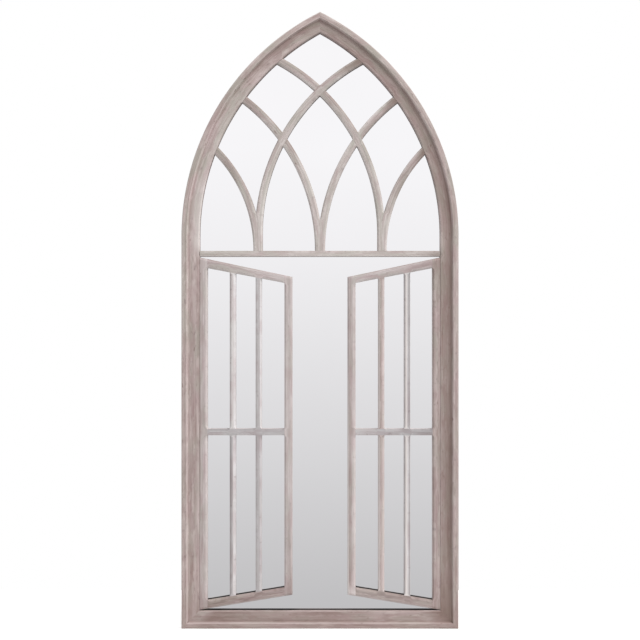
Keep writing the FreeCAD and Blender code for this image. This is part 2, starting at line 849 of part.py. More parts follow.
def build_leaf(name, side):
    leaf = Leaf(name, side)
    rails = {
        "top": (leaf.top_under, leaf.top, [1]),
        "mid": (leaf.mid_low, leaf.mid_high, [0, 1]),
        "bottom": (leaf.base, leaf.base_over, [0]),
    }
    build_stile(leaf, rails, "hinge", leaf.hinge, leaf.stile_hinge, 0)
    build_stile(leaf, rails, "free", leaf.stile_free, leaf.free, 2)
    for kind, (low, high, rows) in rails.items():
        build_rail(leaf, kind, low, high, rows)
    build_bar(leaf, "outer", [0, 1])
    build_bar(leaf, "inner", [1, 2])
    return leaf


def build_stile(leaf, rails, kind, near, far, column):
    name = f"{leaf.name}_{kind}_stile"
    body = new_body(name)
    outline = leaf.quad(near, far, leaf.base, leaf.top)
    slab(body, f"{name}_outline", outline, lattice_back, size["leaf_front"])
    middle = (near + far) / 2
    outside = [(middle * leaf.side, leaf.top(middle)), (middle * leaf.side, leaf.base(middle))]
    if kind == "free":
        outside.append((far * leaf.side, (leaf.top(far) + leaf.base(far)) / 2))
    bevel_outside(body, f"{name}_outside", outside)
    bevel_panes(body, f"{name}_bevels", leaf, [column], [0, 1])
    for rail, (low, high, rows) in rails.items():
        slot = rail_tenon(leaf, low, high, kind == "hinge", size["stub_play"])
        mortise(body, f"{name}_{rail}_mortise", slot)


def build_rail(leaf, kind, low, high, rows):
    name = f"{leaf.name}_{kind}_rail"
    body = new_body(name)
    outline = leaf.quad(leaf.stile_hinge, leaf.stile_free, low, high)
    slab(body, f"{name}_outline", outline, lattice_back, size["leaf_front"])
    middle = (leaf.stile_hinge + leaf.stile_free) / 2
    if kind != "mid":
        line = high if kind == "top" else low
        bevel_outside(body, f"{name}_outside", [(middle * leaf.side, line(middle))])
    bevel_panes(body, f"{name}_bevels", leaf, [0, 1, 2], rows)
    for end in ("hinge", "free"):
        tenon(body, f"{name}_{end}_tenon", rail_tenon(leaf, low, high, end == "hinge", 0))
    for bar in leaf.bars:
        if kind == "mid":
            lap_over_bar(body, f"{name}_{bar}_lap", leaf, bar)
        else:
            line = low if kind == "top" else high
            upward = 1 if kind == "top" else -1
            mortise(body, f"{name}_{bar}_mortise", bar_tenon(leaf, bar, line, upward, size["stub_play"]))


def leaf_lap():
    """Depth of the plane where the bars pass behind the middle rail."""
    return (size["leaf_front"] + lattice_back) / 2


def lap_over_bar(body, name, leaf, bar):
    """The notch at the back of the middle rail that a bar passes through."""
    play = size["lap_play"]
    half = size["bar_width"] / 2 + play
    middle = leaf.bars[bar]
    outline = leaf.quad(middle + half, middle - half, leaf.mid_low, leaf.mid_high, -OVERRUN, OVERRUN)
    front = leaf_lap() + play
    recess(body, name, [outline], front, front - lattice_back + OVERRUN)


def build_bar(leaf, kind, columns):
    name = f"{leaf.name}_{kind}_bar"
    body = new_body(name)
    half = size["bar_width"] / 2
    middle = leaf.bars[kind]
    outline = leaf.quad(middle + half, middle - half, leaf.base_over, leaf.top_under)
    slab(body, f"{name}_outline", outline, lattice_back, size["leaf_front"])
    bevel_panes(body, f"{name}_bevels", leaf, columns, [0, 1])
    tenon(body, f"{name}_top_tenon", bar_tenon(leaf, kind, leaf.top_under, 1, 0))
    tenon(body, f"{name}_base_tenon", bar_tenon(leaf, kind, leaf.base_over, -1, 0))
    play = size["lap_play"]
    past = half + OVERRUN
    notch = leaf.quad(middle + past, middle - past, leaf.mid_low, leaf.mid_high, -play, play)
    front = size["leaf_front"] + OVERRUN
    recess(body, f"{name}_lap", [notch], front, front - leaf_lap())


# Glass, backing and pads

def build_glass():
    body = new_body("mirror_glass")
    inset = frame_width - size["glass_lap"] + size["edge_play"]
    slab(body, "glass_outline", arch_outline(inset, inset), -size["glass_thickness"], 0)


def backing_places():
    places = sill_screws()
    for name, side in SIDES:
        places += jamb_screws(side)
        places += arch_screws(side)
    return places


def build_backing():
    body = new_body("backing_board")
    inset = frame_width - size["board_lap"] + size["edge_play"]
    slab(body, "board_outline", arch_outline(inset, inset), -frame_back, -glass_back)
    radius = size["screw_radius"] + size["screw_play"]
    depth = size["board_thickness"] + OVERRUN * 2
    drill(body, "board_holes", backing_places(), radius, OVERRUN - glass_back, depth)


def pan_screw(name, across, up, seat, grip):
    """A pan-head screw. Its head lies on the seat, and its shank runs forward through the grip."""
    length = as_size(grip) + size["screw_bite"]
    head = along_y("Part::Cylinder", f"{name}_head", across, seat, up)
    bind(head, "Radius", size["screw_head_radius"])
    bind(head, "Height", size["screw_head_height"])
    shank = along_y("Part::Cylinder", f"{name}_shank", across, seat - length, up)
    bind(shank, "Radius", size["screw_radius"])
    bind(shank, "Height", length)
    tip = along_y("Part::Cone", f"{name}_tip", across, seat - length - size["screw_tip"], up)
    bind(tip, "Radius1", size["screw_play"])
    bind(tip, "Radius2", size["screw_radius"])
    bind(tip, "Height", size["screw_tip"])
    screw = document.addObject("Part::MultiFuse", name)
    screw.Shapes = [head, shank, tip]
    return screw


def build_backing_screws():
    screws = []
    for number, (across, up) in enumerate(backing_places(), 1):
        screws.append(pan_screw(f"backing_screw_{number}", across, up, frame_back, size["board_thickness"]))
    group("backing_screws", screws)


def build_pads(name, places):
    """Adhesive pads between the back of the lattice and the glass."""
    pads = []
    for number, (across, up) in enumerate(places, 1):
        disc = along_y("Part::Cylinder", f"{name}_{number}", across, -lattice_back, up)
        bind(disc, "Radius", size["pad_radius"])
        bind(disc, "Height", lattice_back)
        pads.append(disc)
    group(name, pads)


def leaf_pad_places(leaf):
    """Three pads on the back of each stile."""
    places = []
    for across in ((leaf.hinge + leaf.stile_hinge) / 2, (leaf.stile_free + leaf.free) / 2):
        places.append((across * leaf.side, leaf.base_over(across) + size["pad_clearance"]))
        places.append((across * leaf.side, size["mid_rail_middle"]))
        places.append((across * leaf.side, leaf.top_under(across) - size["pad_clearance"]))
    return places


def tracery_pad_places(ribs):
    """Four pads on the back of the transom and two on each rib."""
    middle = transom_base + size["transom_height"] / 2
    reach = size["transom_pad_reach"]
    places = [(-reach * 3, middle), (-reach, middle), (reach, middle), (reach * 3, middle)]
    for rib in ribs.values():
        places.append(rib.low_place())
        places.append(rib.high_place())
    return places


# Hangers and bumpers

def eye_radius():
    """Outside of the strap's rolled eye."""
    return size["wire_radius"] + size["eye_play"] + size["strap_thickness"]


def pivot_back():
    """How far behind the glass front a hanger ring's bar lies."""
    return frame_back + eye_radius()


def build_strap(name, side):
    """A flat strap whose upper end is rolled into an eye for the ring."""
    body = new_body(f"{name}_hanger_strap")
    across = side * (half_width - size["hanger_inset"])
    half = size["strap_width"] / 2
    pivot = hanger_height
    rounding = size["strap_length"] - half
    plate = [
        corner(across - half, pivot),
        corner(across - half, pivot - rounding, (across, pivot - rounding, half)),
        corner(across, pivot - size["strap_length"], (across, pivot - rounding, half)),
        corner(across + half, pivot - rounding),
        corner(across + half, pivot),
    ]
    slab(body, f"{name}_strap_plate", plate, -frame_back - size["strap_thickness"], -frame_back)
    eye = sketch_on(body, "YZ_Plane", f"{name}_strap_eye", (0, 0, across))
    draw_circle(eye, pivot_back(), pivot, eye_radius())
    draw_circle(eye, pivot_back(), pivot, eye_radius() - size["strap_thickness"])
    pad(body, eye, size["strap_width"], both_ways=True)
    radius = size["screw_radius"] + size["screw_play"]
    drill(body, f"{name}_strap_holes", strap_screws(side), radius, OVERRUN - frame_back,
          size["strap_thickness"] + OVERRUN * 2)


def build_ring(name, side):
    """A D-shaped wire ring that hangs down from the strap's eye."""
    body = new_body(f"{name}_hanger_ring")
    across = side * (half_width - size["hanger_inset"])
    pivot = hanger_height
    bend = size["ring_corner"]
    bar = size["strap_width"] / 2 + size["ring_side_play"]
    wide = bar + bend
    elbow = pivot - bend
    hip = elbow - size["ring_leg"]
    path = sketch_on(body, "XZ_Plane", f"{name}_ring_path", (0, 0, -pivot_back()))
    draw(path, [
        corner(across, pivot),
        corner(across + bar, pivot, (across + bar, elbow, bend)),
        corner(across + wide, elbow),
        corner(across + wide, hip, (across, hip, wide)),
        corner(across, hip - wide, (across, hip, wide)),
        corner(across - wide, hip),
        corner(across - wide, elbow, (across - bar, elbow, bend)),
        corner(across - bar, pivot),
    ])
    section = sketch_on(body, "YZ_Plane", f"{name}_ring_section", (0, 0, across))
    draw_circle(section, pivot_back(), pivot, size["wire_radius"])
    wire = body.newObject("PartDesign::AdditivePipe", f"{name}_ring_wire")
    wire.Profile = section
    wire.Spine = path
    document.recompute()


def build_hanger_screws():
    screws = []
    for name, side in SIDES:
        for number, (across, up) in enumerate(strap_screws(side), 1):
            seat = frame_back + size["strap_thickness"]
            label = f"{name}_hanger_screw_{number}"
            screws.append(pan_screw(label, across, up, seat, size["strap_thickness"]))
    group("hanger_screws", screws)


def build_bumpers():
    bumpers = []
    for name, side in SIDES:
        across = side * (half_width - size["hanger_inset"])
        bumper = along_y("Part::Cone", f"{name}_bumper", across, frame_back, size["bumper_height"])
        bind(bumper, "Radius1", size["bumper_radius"])
        bind(bumper, "Radius2", size["bumper_tip_radius"])
        bind(bumper, "Height", size["bumper_thickness"])
        bumpers.append(bumper)
    group("wall_bumpers", bumpers)


# Assembly

def build_mirror():
    build_sill()
    for name, side in SIDES:
        build_jamb(name, side)
        build_arch_rib(name, side)
        tongue(f"{name}_corner_tongue", "corner", side)
        tongue(f"{name}_springing_tongue", "springing", side)
    tongue("apex_tongue", "apex", 1)
    build_transom()
    ribs = tracery()
    build_tracery(ribs)
    build_pads("tracery_pads", tracery_pad_places(ribs))
    for name, side in SIDES:
        leaf = build_leaf(name, side)
        build_pads(f"{name}_leaf_pads", leaf_pad_places(leaf))
    build_glass()
    build_backing()
    build_backing_screws()
    for name, side in SIDES:
        build_strap(name, side)
        build_ring(name, side)
    build_hanger_screws()
    build_bumpers()


def check_and_write():
    """Stop on any failed feature or bad solid, then write each piece to its own file."""
    document.recompute()
    for thing in document.Objects:
        if "Invalid" in thing.State or "Error" in thing.State:
            raise RuntimeError(f"{thing.Label} failed: {thing.State}")
    for piece in pieces:
        if piece.Shape.isNull() or not piece.Shape.isValid():
            raise RuntimeError(f"{piece.Label} has no valid shape")
        if piece.TypeId == "PartDesign::Body" and len(piece.Shape.Solids) != 1:
            raise RuntimeError(f"{piece.Label} is not one solid")
    os.makedirs("parts", exist_ok=True)
    for piece in pieces:
        piece.Shape.exportStep(f"parts/{piece.Label}.step")


build_mirror()
check_and_write()
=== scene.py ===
import math

import bmesh
import bpy
import numpy as np
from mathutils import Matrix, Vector


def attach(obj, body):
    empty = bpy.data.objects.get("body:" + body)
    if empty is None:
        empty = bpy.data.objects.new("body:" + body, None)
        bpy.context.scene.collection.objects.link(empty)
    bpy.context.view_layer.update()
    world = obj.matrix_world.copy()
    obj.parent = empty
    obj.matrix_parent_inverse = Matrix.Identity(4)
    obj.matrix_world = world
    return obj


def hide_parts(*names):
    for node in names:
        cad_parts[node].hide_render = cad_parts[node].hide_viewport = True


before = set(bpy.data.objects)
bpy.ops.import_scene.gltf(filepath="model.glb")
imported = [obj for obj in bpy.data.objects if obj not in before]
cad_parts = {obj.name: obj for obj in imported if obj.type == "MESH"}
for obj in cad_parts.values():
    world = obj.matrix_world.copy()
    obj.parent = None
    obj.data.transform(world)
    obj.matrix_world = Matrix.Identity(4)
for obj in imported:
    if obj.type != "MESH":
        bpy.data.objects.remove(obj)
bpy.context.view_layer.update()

# Driving dimensions, in millimetres. Depth is measured forward of the glass. They are those of the
# part's source, apart from three lines that lie where the photo shows them, up to 1.2 mm off: the base
# of the transom, the upper line of the bottom rails and the inner line of the hinge stiles.
MM = 0.001
SIDES = {"left": -1, "right": 1}
HALF_WIDTH = 404
SPRINGING = 1145
ARCH_RADIUS = 731
ARCH_OFFSET = ARCH_RADIUS - HALF_WIDTH
FRAME_WIDTH = 53
SIGHT_RADIUS = ARCH_RADIUS - FRAME_WIDTH
LATTICE_GAP = 0.4
LATTICE_BACK = 2
TRACERY_FRONT = 22
TRANSOM_BASE = 1085
TRANSOM_TOP = 1102
TRANSOM_BEVEL = 2.5
LATTICE_HALF = HALF_WIDTH - FRAME_WIDTH - LATTICE_GAP

RIB_HALF = 11
RIB_BEVEL = 4
RIB_LAP = 12
LAP_PLAY = 0.2
# Each kind of rib, leaning right: radius, foot, middle of its circle, level where its arc starts.
RIBS = {
    "long": (572.5, -181, 393.9, 1155),
    "middle": (556, 0, 559.9, 1103),
    "short": (415, 181, 598.6, 1103),
}
FOOT_PARTNER = {"long": "short", "middle": "middle", "short": "long"}

LEAF_FRONT = 22
LEAF_LAP = 12
LEAF_HINGE = LATTICE_HALF
LEAF_WIDTH = 270
LEAF_FREE = LEAF_HINGE - LEAF_WIDTH
STILE_WIDTH = 23.3
HINGE_STILE_WIDTH = 22.1
STILE_HINGE = LEAF_HINGE - HINGE_STILE_WIDTH
STILE_FREE = LEAF_FREE + STILE_WIDTH
BAR_HALF = 9
BARS = {"outer": 254.6, "inner": 179.1}
PANE_BEVEL = 5
EDGE_BEVEL = 3.5
MID_LOW, MID_HIGH = 563.5, 582.5
# Level of each line of a leaf at its hinge edge and at its free edge.
LEAF_LINES = {
    "top": (1083, 1026),
    "top_under": (1056, 1004),
    "mid_over": (MID_HIGH, MID_HIGH),
    "mid_under": (MID_LOW, MID_LOW),
    "base_over": (79.6, 123.6),
    "base": (54, 98),
}

# How a section is worn: where the rounding starts, how wide the arris is, the most of a side that each
# may take up, and the share that each of the five points of a corner takes of the rubbed wear on an
# arris and of the wax and painted shade in a hollow corner.
WEAR_REACH, WEAR_SHARE = 2.5, 0.4
ARRIS, ARRIS_SHARE = 0.7, 0.25
ROUND_SHARE = 1 - math.sqrt(0.5)
WEAR_AND_SHADE_POINTS = np.array([0, 0.7, 1, 0.7, 0])
# The wear is uneven: the least share of its size, what may come on top, and the length of a change.
WEAR_LEAST, WEAR_MORE = 0.75, 0.9
UNEVEN_PACE = 38
# What is left of a bevel, and of the softness of its arrises, where two members run into each other.
HAIRLINE = 0.3
FAINTEST = 0.1
# Meshes: the longest step along a member, how near two points become one in metres, and the angles from
# which an edge is shaded as sharp.
ROW_PACE = 5
MERGE = 2e-6
WOOD_EDGE, TURNED_EDGE = math.radians(60), math.radians(40)
# A member's grain starts anywhere in a square of this side.
GRAIN_SQUARE = 3000

SEED = 41
chance = np.random.default_rng(SEED)


# Meshes

def lay_rows(stations, stepped=()):
    """Rows between stations. Each station is a pair of places, on the low and on the high edge.

    Both places run evenly from one station to the next. A stepped station gets two rows, so that the
    section can change there. Gives the rows and the number of the span that each row is in.
    """
    rows = []
    spans = []
    for number, (start, end) in enumerate(zip(stations[:-1], stations[1:])):
        longest = np.abs(np.subtract(end, start)).max()
        count = max(2, math.ceil(longest / ROW_PACE) + 1)
        part = np.linspace(start, end, count)
        if number > 0 and number not in stepped:
            part = part[1:]
        rows.append(part)
        spans.append(np.full(len(part), number))
    return np.concatenate(rows), np.concatenate(spans)


def uneven(along, columns):
    """Slow random change along a member, one column for each corner: knots joined by straight lines."""
    place = (along - along.min()) / UNEVEN_PACE
    knots = chance.uniform(0, 1, (int(place.max()) + 2, columns))
    index = place.astype(int)
    share = (place - index)[:, None]
    return knots[index] * (1 - share) + knots[index + 1] * share


def bar_section(width, back, front, low_bevel, high_bevel):
    """Corners of a bar's section for each row: square behind, with a bevel along each front edge."""
    across = np.stack([0 * width, 0 * width, low_bevel, width - high_bevel, width, width], axis=1)
    depth = np.stack([back, front - low_bevel, front, front, front - high_bevel, back], axis=1)
    return np.stack([across, depth], axis=2)


def soften(corners, softness):
    """Five points for each corner of each section: two where the wear starts, two on the ends of the
    arris and one on the arc between them. None lies further than a share of its side from the corner.
    """
    sides = [np.roll(corners, 1, axis=1) - corners, np.roll(corners, -1, axis=1) - corners]
    points = []
    for side in sides:
        length = np.linalg.norm(side, axis=2)
        step = side / length[..., None]
        wide = np.minimum(WEAR_REACH * softness, WEAR_SHARE * length)
        tight = np.minimum(ARRIS * softness, ARRIS_SHARE * length)
        points.append((corners + step * wide[..., None], corners + step * tight[..., None]))
    (wide_before, tight_before), (tight_after, wide_after) = points[0], points[1][::-1]
    middle = corners + ROUND_SHARE * (tight_before + tight_after - 2 * corners)
    turn = np.cross(sides[0], sides[1]) / np.prod([np.linalg.norm(s, axis=2) for s in sides], axis=0)
    shape = (corners.shape[0], corners.shape[1] * 5)
    five = np.stack([wide_before, tight_before, middle, tight_after, wide_after], axis=2)
    wear_and_corner_shade = (turn * np.minimum(softness, 1))[..., None] * WEAR_AND_SHADE_POINTS
    return five.reshape(*shape, 2), wear_and_corner_shade.reshape(shape)


def spread(faces):
    """Values of a finish for the five points of each corner, from its values on each face.

    A face has one value, or a pair for its start and its end.
    """
    after, last = np.array([np.broadcast_to(value, 2) for value in faces], float).T
    before = np.roll(last, 1)
    return np.stack([before, before, (before + after) / 2, after, after], axis=1).ravel()


def graded(places, knots, tones, count, first=0):
    """Tone along a member, from wax-brown painted shade at -1 to chalk-white painted light at 1,
    changing evenly between those at the knots.

    A knot has the tones of some of the section's faces, from the first one on. The others are plain.
    """
    faces = np.zeros((len(knots), count, 2))
    for face, tone in zip(faces, tones):
        face[first:first + len(tone)] = [np.broadcast_to(value, 2) for value in tone]
    shares = [np.interp(places, knots, one) for one in np.eye(len(knots))]
    return np.tensordot(shares, [spread(face) for face in faces], axes=(0, 0))


def loft(name, low, high, width, corners, softness, along, stain_and_shade, tone, grain_start=None):
    """A member as a section carried along two edge lines.

    A point of the section lies on the line from the low edge to the high edge, at its own share of the
    width, and at its own depth. The grain's coordinates are the length along the member and the way
    round the section. The stain, which also paints shade, and the tone, which paints shade and light,
    have a value for each point of the section, or of every row.
    """
    softness = softness * (WEAR_LEAST + WEAR_MORE * uneven(along.mean(axis=1), corners.shape[1]))
    section, wear_and_corner_shade = soften(corners, softness)
    across, depth = section[..., 0], section[..., 1]
    share = (across / width[:, None])[..., None]
    flat = low[:, None, :] + (high - low)[:, None, :] * share
    points = np.stack([flat[..., 0], -depth, flat[..., 1]], axis=2).reshape(-1, 3) * MM
    rows, count = across.shape

    row, column = np.meshgrid(np.arange(rows - 1), np.arange(count), indexing="ij")
    corner_rows = np.stack([row, row + 1, row + 1, row], axis=2)
    corner_columns = np.stack([column, column, column + 1, column + 1], axis=2)
    wrapped = corner_columns % count
    faces = (corner_rows * count + wrapped).reshape(-1, 4)
    caps = [np.arange(count), (rows - 1) * count + np.arange(count)[::-1]]

    run = along[:, :1] + (along[:, 1:] - along[:, :1]) * share[..., 0]
    steps = np.linalg.norm(np.roll(section, -1, axis=1) - section, axis=2)
    fullest = steps[np.argmax(steps.sum(axis=1))]
    way_round = np.concatenate([[0], np.cumsum(fullest)])
    grain = np.stack([run[corner_rows, wrapped], way_round[corner_columns]], axis=3).reshape(-1, 4, 2)

    first, second, third, fourth = points[faces.T]
    inside_out = np.sum(first * np.cross(third - first, fourth - second)) < 0
    if inside_out:
        faces = faces[:, ::-1]
        grain = grain[:, ::-1]
        caps = [cap[::-1] for cap in caps]
    cap_grain = [np.stack([depth.ravel()[cap], across.ravel()[cap]], axis=1) for cap in caps]
    offset = chance.uniform(0, GRAIN_SQUARE, 2) if grain_start is None else grain_start
    grain = np.concatenate([grain.reshape(-1, 2), *cap_grain]) + offset

    mesh = bpy.data.meshes.new(name)
    mesh.from_pydata(points.tolist(), [], faces.tolist() + [cap.tolist() for cap in caps])
    smooth = np.ones(len(mesh.polygons), bool)
    smooth[-len(caps):] = False
    mesh.polygons.foreach_set("use_smooth", smooth)
    mesh.uv_layers.new(name="grain").uv.foreach_set("vector", (grain * MM).astype(np.float32).ravel())
    for title, finish in {"wear_and_corner_shade": wear_and_corner_shade, "stain_and_shade": stain_and_shade, "tone": tone}.items():
        values = np.broadcast_to(finish, across.shape).astype(np.float32).ravel()
        mesh.attributes.new(title, "FLOAT", "POINT").data.foreach_set("value", values)
    merged = bmesh.new()
    merged.from_mesh(mesh)
    bmesh.ops.remove_doubles(merged, verts=merged.verts, dist=MERGE)
    bmesh.ops.dissolve_degenerate(merged, edges=merged.edges, dist=MERGE)
    merged.to_mesh(mesh)
    merged.free()
    mesh.set_sharp_from_angle(angle=WOOD_EDGE)
    return mesh


def show(mesh, material, node):
    """Put a finished mesh in the scene under its own name, in place of the CAD node it stands for."""
    piece = bpy.data.objects.new(mesh.name, mesh)
    bpy.context.scene.collection.objects.link(piece)
    mesh.materials.append(material)
    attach(piece, "frame")
    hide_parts(node)


# Materials

def colour(code):
    """Linear colour from an sRGB hex value."""
    parts = np.array([int(code[i:i + 2], 16) for i in (1, 3, 5)]) / 255
    linear = np.where(parts <= 0.04045, parts / 12.92, ((parts + 0.055) / 1.055) ** 2.4)
    return (*linear.tolist(), 1.0)


def add_node(tree, kind, inputs=None, **settings):
    """Add a node with its settings. An input is given a value, or the socket that it is linked from."""
    node = tree.nodes.new(kind)
    for name, value in settings.items():
        setattr(node, name, value)
    for socket, value in (inputs or {}).items():
        if isinstance(value, bpy.types.NodeSocket):
            tree.links.new(value, node.inputs[socket])
        else:
            node.inputs[socket].default_value = value
    return node


def new_material(name, roughness, specular=0.5, metallic=0.0):
    """An empty material and its shader, with the values that are the same all over it."""
    material = bpy.data.materials.new(name)
    material.use_nodes = True
    shader = material.node_tree.nodes["Principled BSDF"]
    shader.inputs["Roughness"].default_value = roughness
    shader.inputs["Specular IOR Level"].default_value = specular
    shader.inputs["Metallic"].default_value = metallic
    return material, material.node_tree, shader


def whitewashed_fir(member, wood, pale, dark, tinged=0.5, wash_cover=0.5, mottled=0.4, wax_and_shade="#776259"):
    """Fir, brushed, whitewashed and rubbed down.

    It gives the eye long grey-pink streaks, cloudy patches of thin wash, green-grey and mauve tinges,
    a few dark pores, arrises rubbed to a paler tone, wax and painted shade in the hollow corners,
    painted shade in wax brown and painted light in chalk white where the tone calls for them, a dark
    stain on hidden edges that also paints the shade next to the glass, and a little darkening towards
    the floor.
    """
    material, tree, shader = new_material("whitewashed fir, " + member, roughness=0.8, specular=0.25)
    source = add_node(tree, "ShaderNodeUVMap", uv_map="grain").outputs["UV"]
    spot = add_node(tree, "ShaderNodeTexCoord").outputs["Object"]
    place = add_node(tree, "ShaderNodeSeparateXYZ", {"Vector": spot}).outputs
    # Each pattern: its length along the grain and its width, in millimetres, how finely it is broken
    # up, and the noise values between which it fades in. Real streaks and pores are about a millimetre
    # wide, too fine to show from here, so they are drawn coarser.
    patterns = {
        "streak": (160, 4.2, 2, 0.4, 0.6),
        "band": (420, 9, 2, 0.36, 0.64),
        "wash": (140, 26, 3, wash_cover - 0.12, wash_cover + 0.2),
        "tinge": (120, 36, 2, 0.42, 0.6),
        "blush": (100, 28, 2, 0.48, 0.64),
        "mottle": (40, 12, 3, 0.52, 0.66),
        "fleck": (50, 8, 2, 0.58, 0.68),
        "blotch": (24, 11, 2, 0.66, 0.76),
        "pore": (16, 1.5, 2, 0.66, 0.76),
        "knot": (26, 13, 1, 0.76, 0.84),
    }
    # Each pattern is read this much further along and across the noise than the one before.
    shift_along, shift_across = 7.3, 3.1
    noise = {}
    fades = {}
    for number, (title, (length, breadth, detail, low, high)) in enumerate(patterns.items()):
        spread_out = add_node(tree, "ShaderNodeMapping", {
            "Vector": source,
            "Location": (number * shift_along, number * shift_across, 0),
            "Scale": (1 / (length * MM), 1 / (breadth * MM), 1),
        })
        noise[title] = add_node(tree, "ShaderNodeTexNoise", {
            "Vector": spread_out.outputs["Vector"],
            "Scale": 1,
            "Detail": detail,
            "Roughness": 0.55,
        }, noise_dimensions="2D").outputs["Fac"]
        fades[title] = (noise[title], low, high)
    finish = {}
    for title in ("wear_and_corner_shade", "stain_and_shade", "tone"):
        finish[title] = add_node(tree, "ShaderNodeAttribute", attribute_name=title).outputs["Fac"]
    # The edges of the stained and shaded sides and of the darkening low down wander by up to this much,
    # in metres.
    edge_wander, low_darkening_wander = 0.008, -0.12
    deep = add_node(tree, "ShaderNodeMath", {0: noise["wash"], 1: edge_wander, 2: place["Y"]},
                    operation="MULTIPLY_ADD").outputs[0]
    drift = add_node(tree, "ShaderNodeMath", {0: noise["wash"], 1: low_darkening_wander, 2: place["Z"]},
                     operation="MULTIPLY_ADD").outputs[0]
    # Where the other finishes lie: the value that is read, and the two values between which it fades
    # in. The last row also has its least and its most.
    fades.update({
        "rubbed": (finish["wear_and_corner_shade"], 0.15, 1),
        # Hollow corners, where the wear is below 0, get wax and painted shade.
        "corner wax and shade": (finish["wear_and_corner_shade"], -0.1, -0.7),
        # The tone paints shade below 0 and light above 0.
        "wax and painted shade": (finish["tone"], 0, -1),
        "chalk and painted light": (finish["tone"], 0, 1),
        "behind": (deep, -0.0155, -0.0075),
        # Darker low down, towards the floor.
        "darker low down": (drift, 0.12, -0.04),
        "weathered": (drift, 0.4, 1.5, tinged, 1.8 * tinged),
    })
    share = {}
    for title, (value, start, end, *reach) in fades.items():
        least, most = reach or (0, 1)
        share[title] = add_node(tree, "ShaderNodeMapRange", {
            "Value": value,
            "From Min": start,
            "From Max": end,
            "To Min": least,
            "To Max": most,
        }).outputs["Result"]
    tinge = add_node(tree, "ShaderNodeMath", {0: share["tinge"], 1: share["weathered"]},
                     operation="MULTIPLY").outputs[0]
    stain_and_shade_share = add_node(tree, "ShaderNodeMath", {0: finish["stain_and_shade"], 1: share["behind"]},
                       operation="MULTIPLY").outputs[0]
    # The layers, from the wood outwards: where each lies, how strong it is, and its colour.
    layers = [
        (share["streak"], 0.85, wood),
        (share["band"], 0.45, pale),
        (share["wash"], 0.4, pale),
        (tinge, 1, "#A9A79C"),
        (share["blush"], 0.4, "#AE9496"),
        (share["mottle"], mottled, dark),
        (share["fleck"], mottled, pale),
        (share["blotch"], mottled, "#7F7070"),
        (share["darker low down"], 0.4, "#8E7B76"),
        (share["rubbed"], 0.3, pale),
        (share["pore"], 0.3, "#7A6660"),
        (share["knot"], 0.5, "#7E6A62"),
        # Painted shade in wax brown and painted light in chalk white, by the tone.
        (share["wax and painted shade"], 0.75, wax_and_shade),
        (share["chalk and painted light"], 0.75, "#E6DEDB"),
        # Wax and painted shade in the hollow corners.
        (share["corner wax and shade"], 0.3, wax_and_shade),
        # A near-black stain that also paints the shade on the edges next to the glass.
        (stain_and_shade_share, 0.97, "#100A07"),
    ]
    tone = colour(dark)
    for factor, strength, code in layers:
        amount = add_node(tree, "ShaderNodeMath", {0: factor, 1: strength},
                          operation="MULTIPLY").outputs[0]
        tone = add_node(tree, "ShaderNodeMix", {0: amount, 6: tone, 7: colour(code)},
                        data_type="RGBA").outputs[2]
    tree.links.new(tone, shader.inputs["Base Color"])
    pore_sink = -0.8
    hollow = add_node(tree, "ShaderNodeMath", {0: share["pore"], 1: pore_sink, 2: share["streak"]},
                      operation="MULTIPLY_ADD").outputs[0]
    bump = add_node(tree, "ShaderNodeBump", {"Height": hollow, "Strength": 0.35, "Distance": 0.0003})
    tree.links.new(bump.outputs["Normal"], shader.inputs["Normal"])
    return material


def speckled(name, main, other, grit, roughness, specular=0.5, metallic=0.0, bump=0.0001, detail=3):
    """A surface of two tones mixed in clouds of one size, such as pressed board, foam or zinc.

    It gives the eye an even surface that isn't flat. The grit is the size of the clouds in millimetres,
    and the detail says how far they break up. They fade in between two values of the noise.
    """
    fade_start, fade_end = 0.35, 0.65
    material, tree, shader = new_material(name, roughness, specular, metallic)
    spot = add_node(tree, "ShaderNodeTexCoord").outputs["Object"]
    noise = add_node(tree, "ShaderNodeTexNoise", {
        "Vector": spot,
        "Scale": 1 / (grit * MM),
        "Detail": detail,
        "Roughness": 0.65,
    }).outputs["Fac"]
    share = add_node(tree, "ShaderNodeMapRange", {
        "Value": noise,
        "From Min": fade_start,
        "From Max": fade_end,
    }).outputs["Result"]
    tone = add_node(tree, "ShaderNodeMix", {0: share, 6: colour(main), 7: colour(other)},
                    data_type="RGBA").outputs[2]
    relief = add_node(tree, "ShaderNodeBump", {"Height": noise, "Strength": 0.4, "Distance": bump})
    tree.links.new(tone, shader.inputs["Base Color"])
    tree.links.new(relief.outputs["Normal"], shader.inputs["Normal"])
    return material


def silvered_glass():
    """Float glass with a silver coat: a clear mirror, a hair darker where it has a film of dust."""
    material, tree, shader = new_material("silvered float glass", roughness=0.0, metallic=1.0)
    film_size = 180
    spot = add_node(tree, "ShaderNodeTexCoord").outputs["Object"]
    film = add_node(tree, "ShaderNodeTexNoise", {
        "Vector": spot,
        "Scale": 1 / (film_size * MM),
        "Detail": 2,
    }).outputs["Fac"]
    tone = add_node(tree, "ShaderNodeMix", {
        0: film,
        6: colour("#FAF9FA"),
        7: colour("#F8F7F8"),
    }, data_type="RGBA").outputs[2]
    tree.links.new(tone, shader.inputs["Base Color"])
    return material


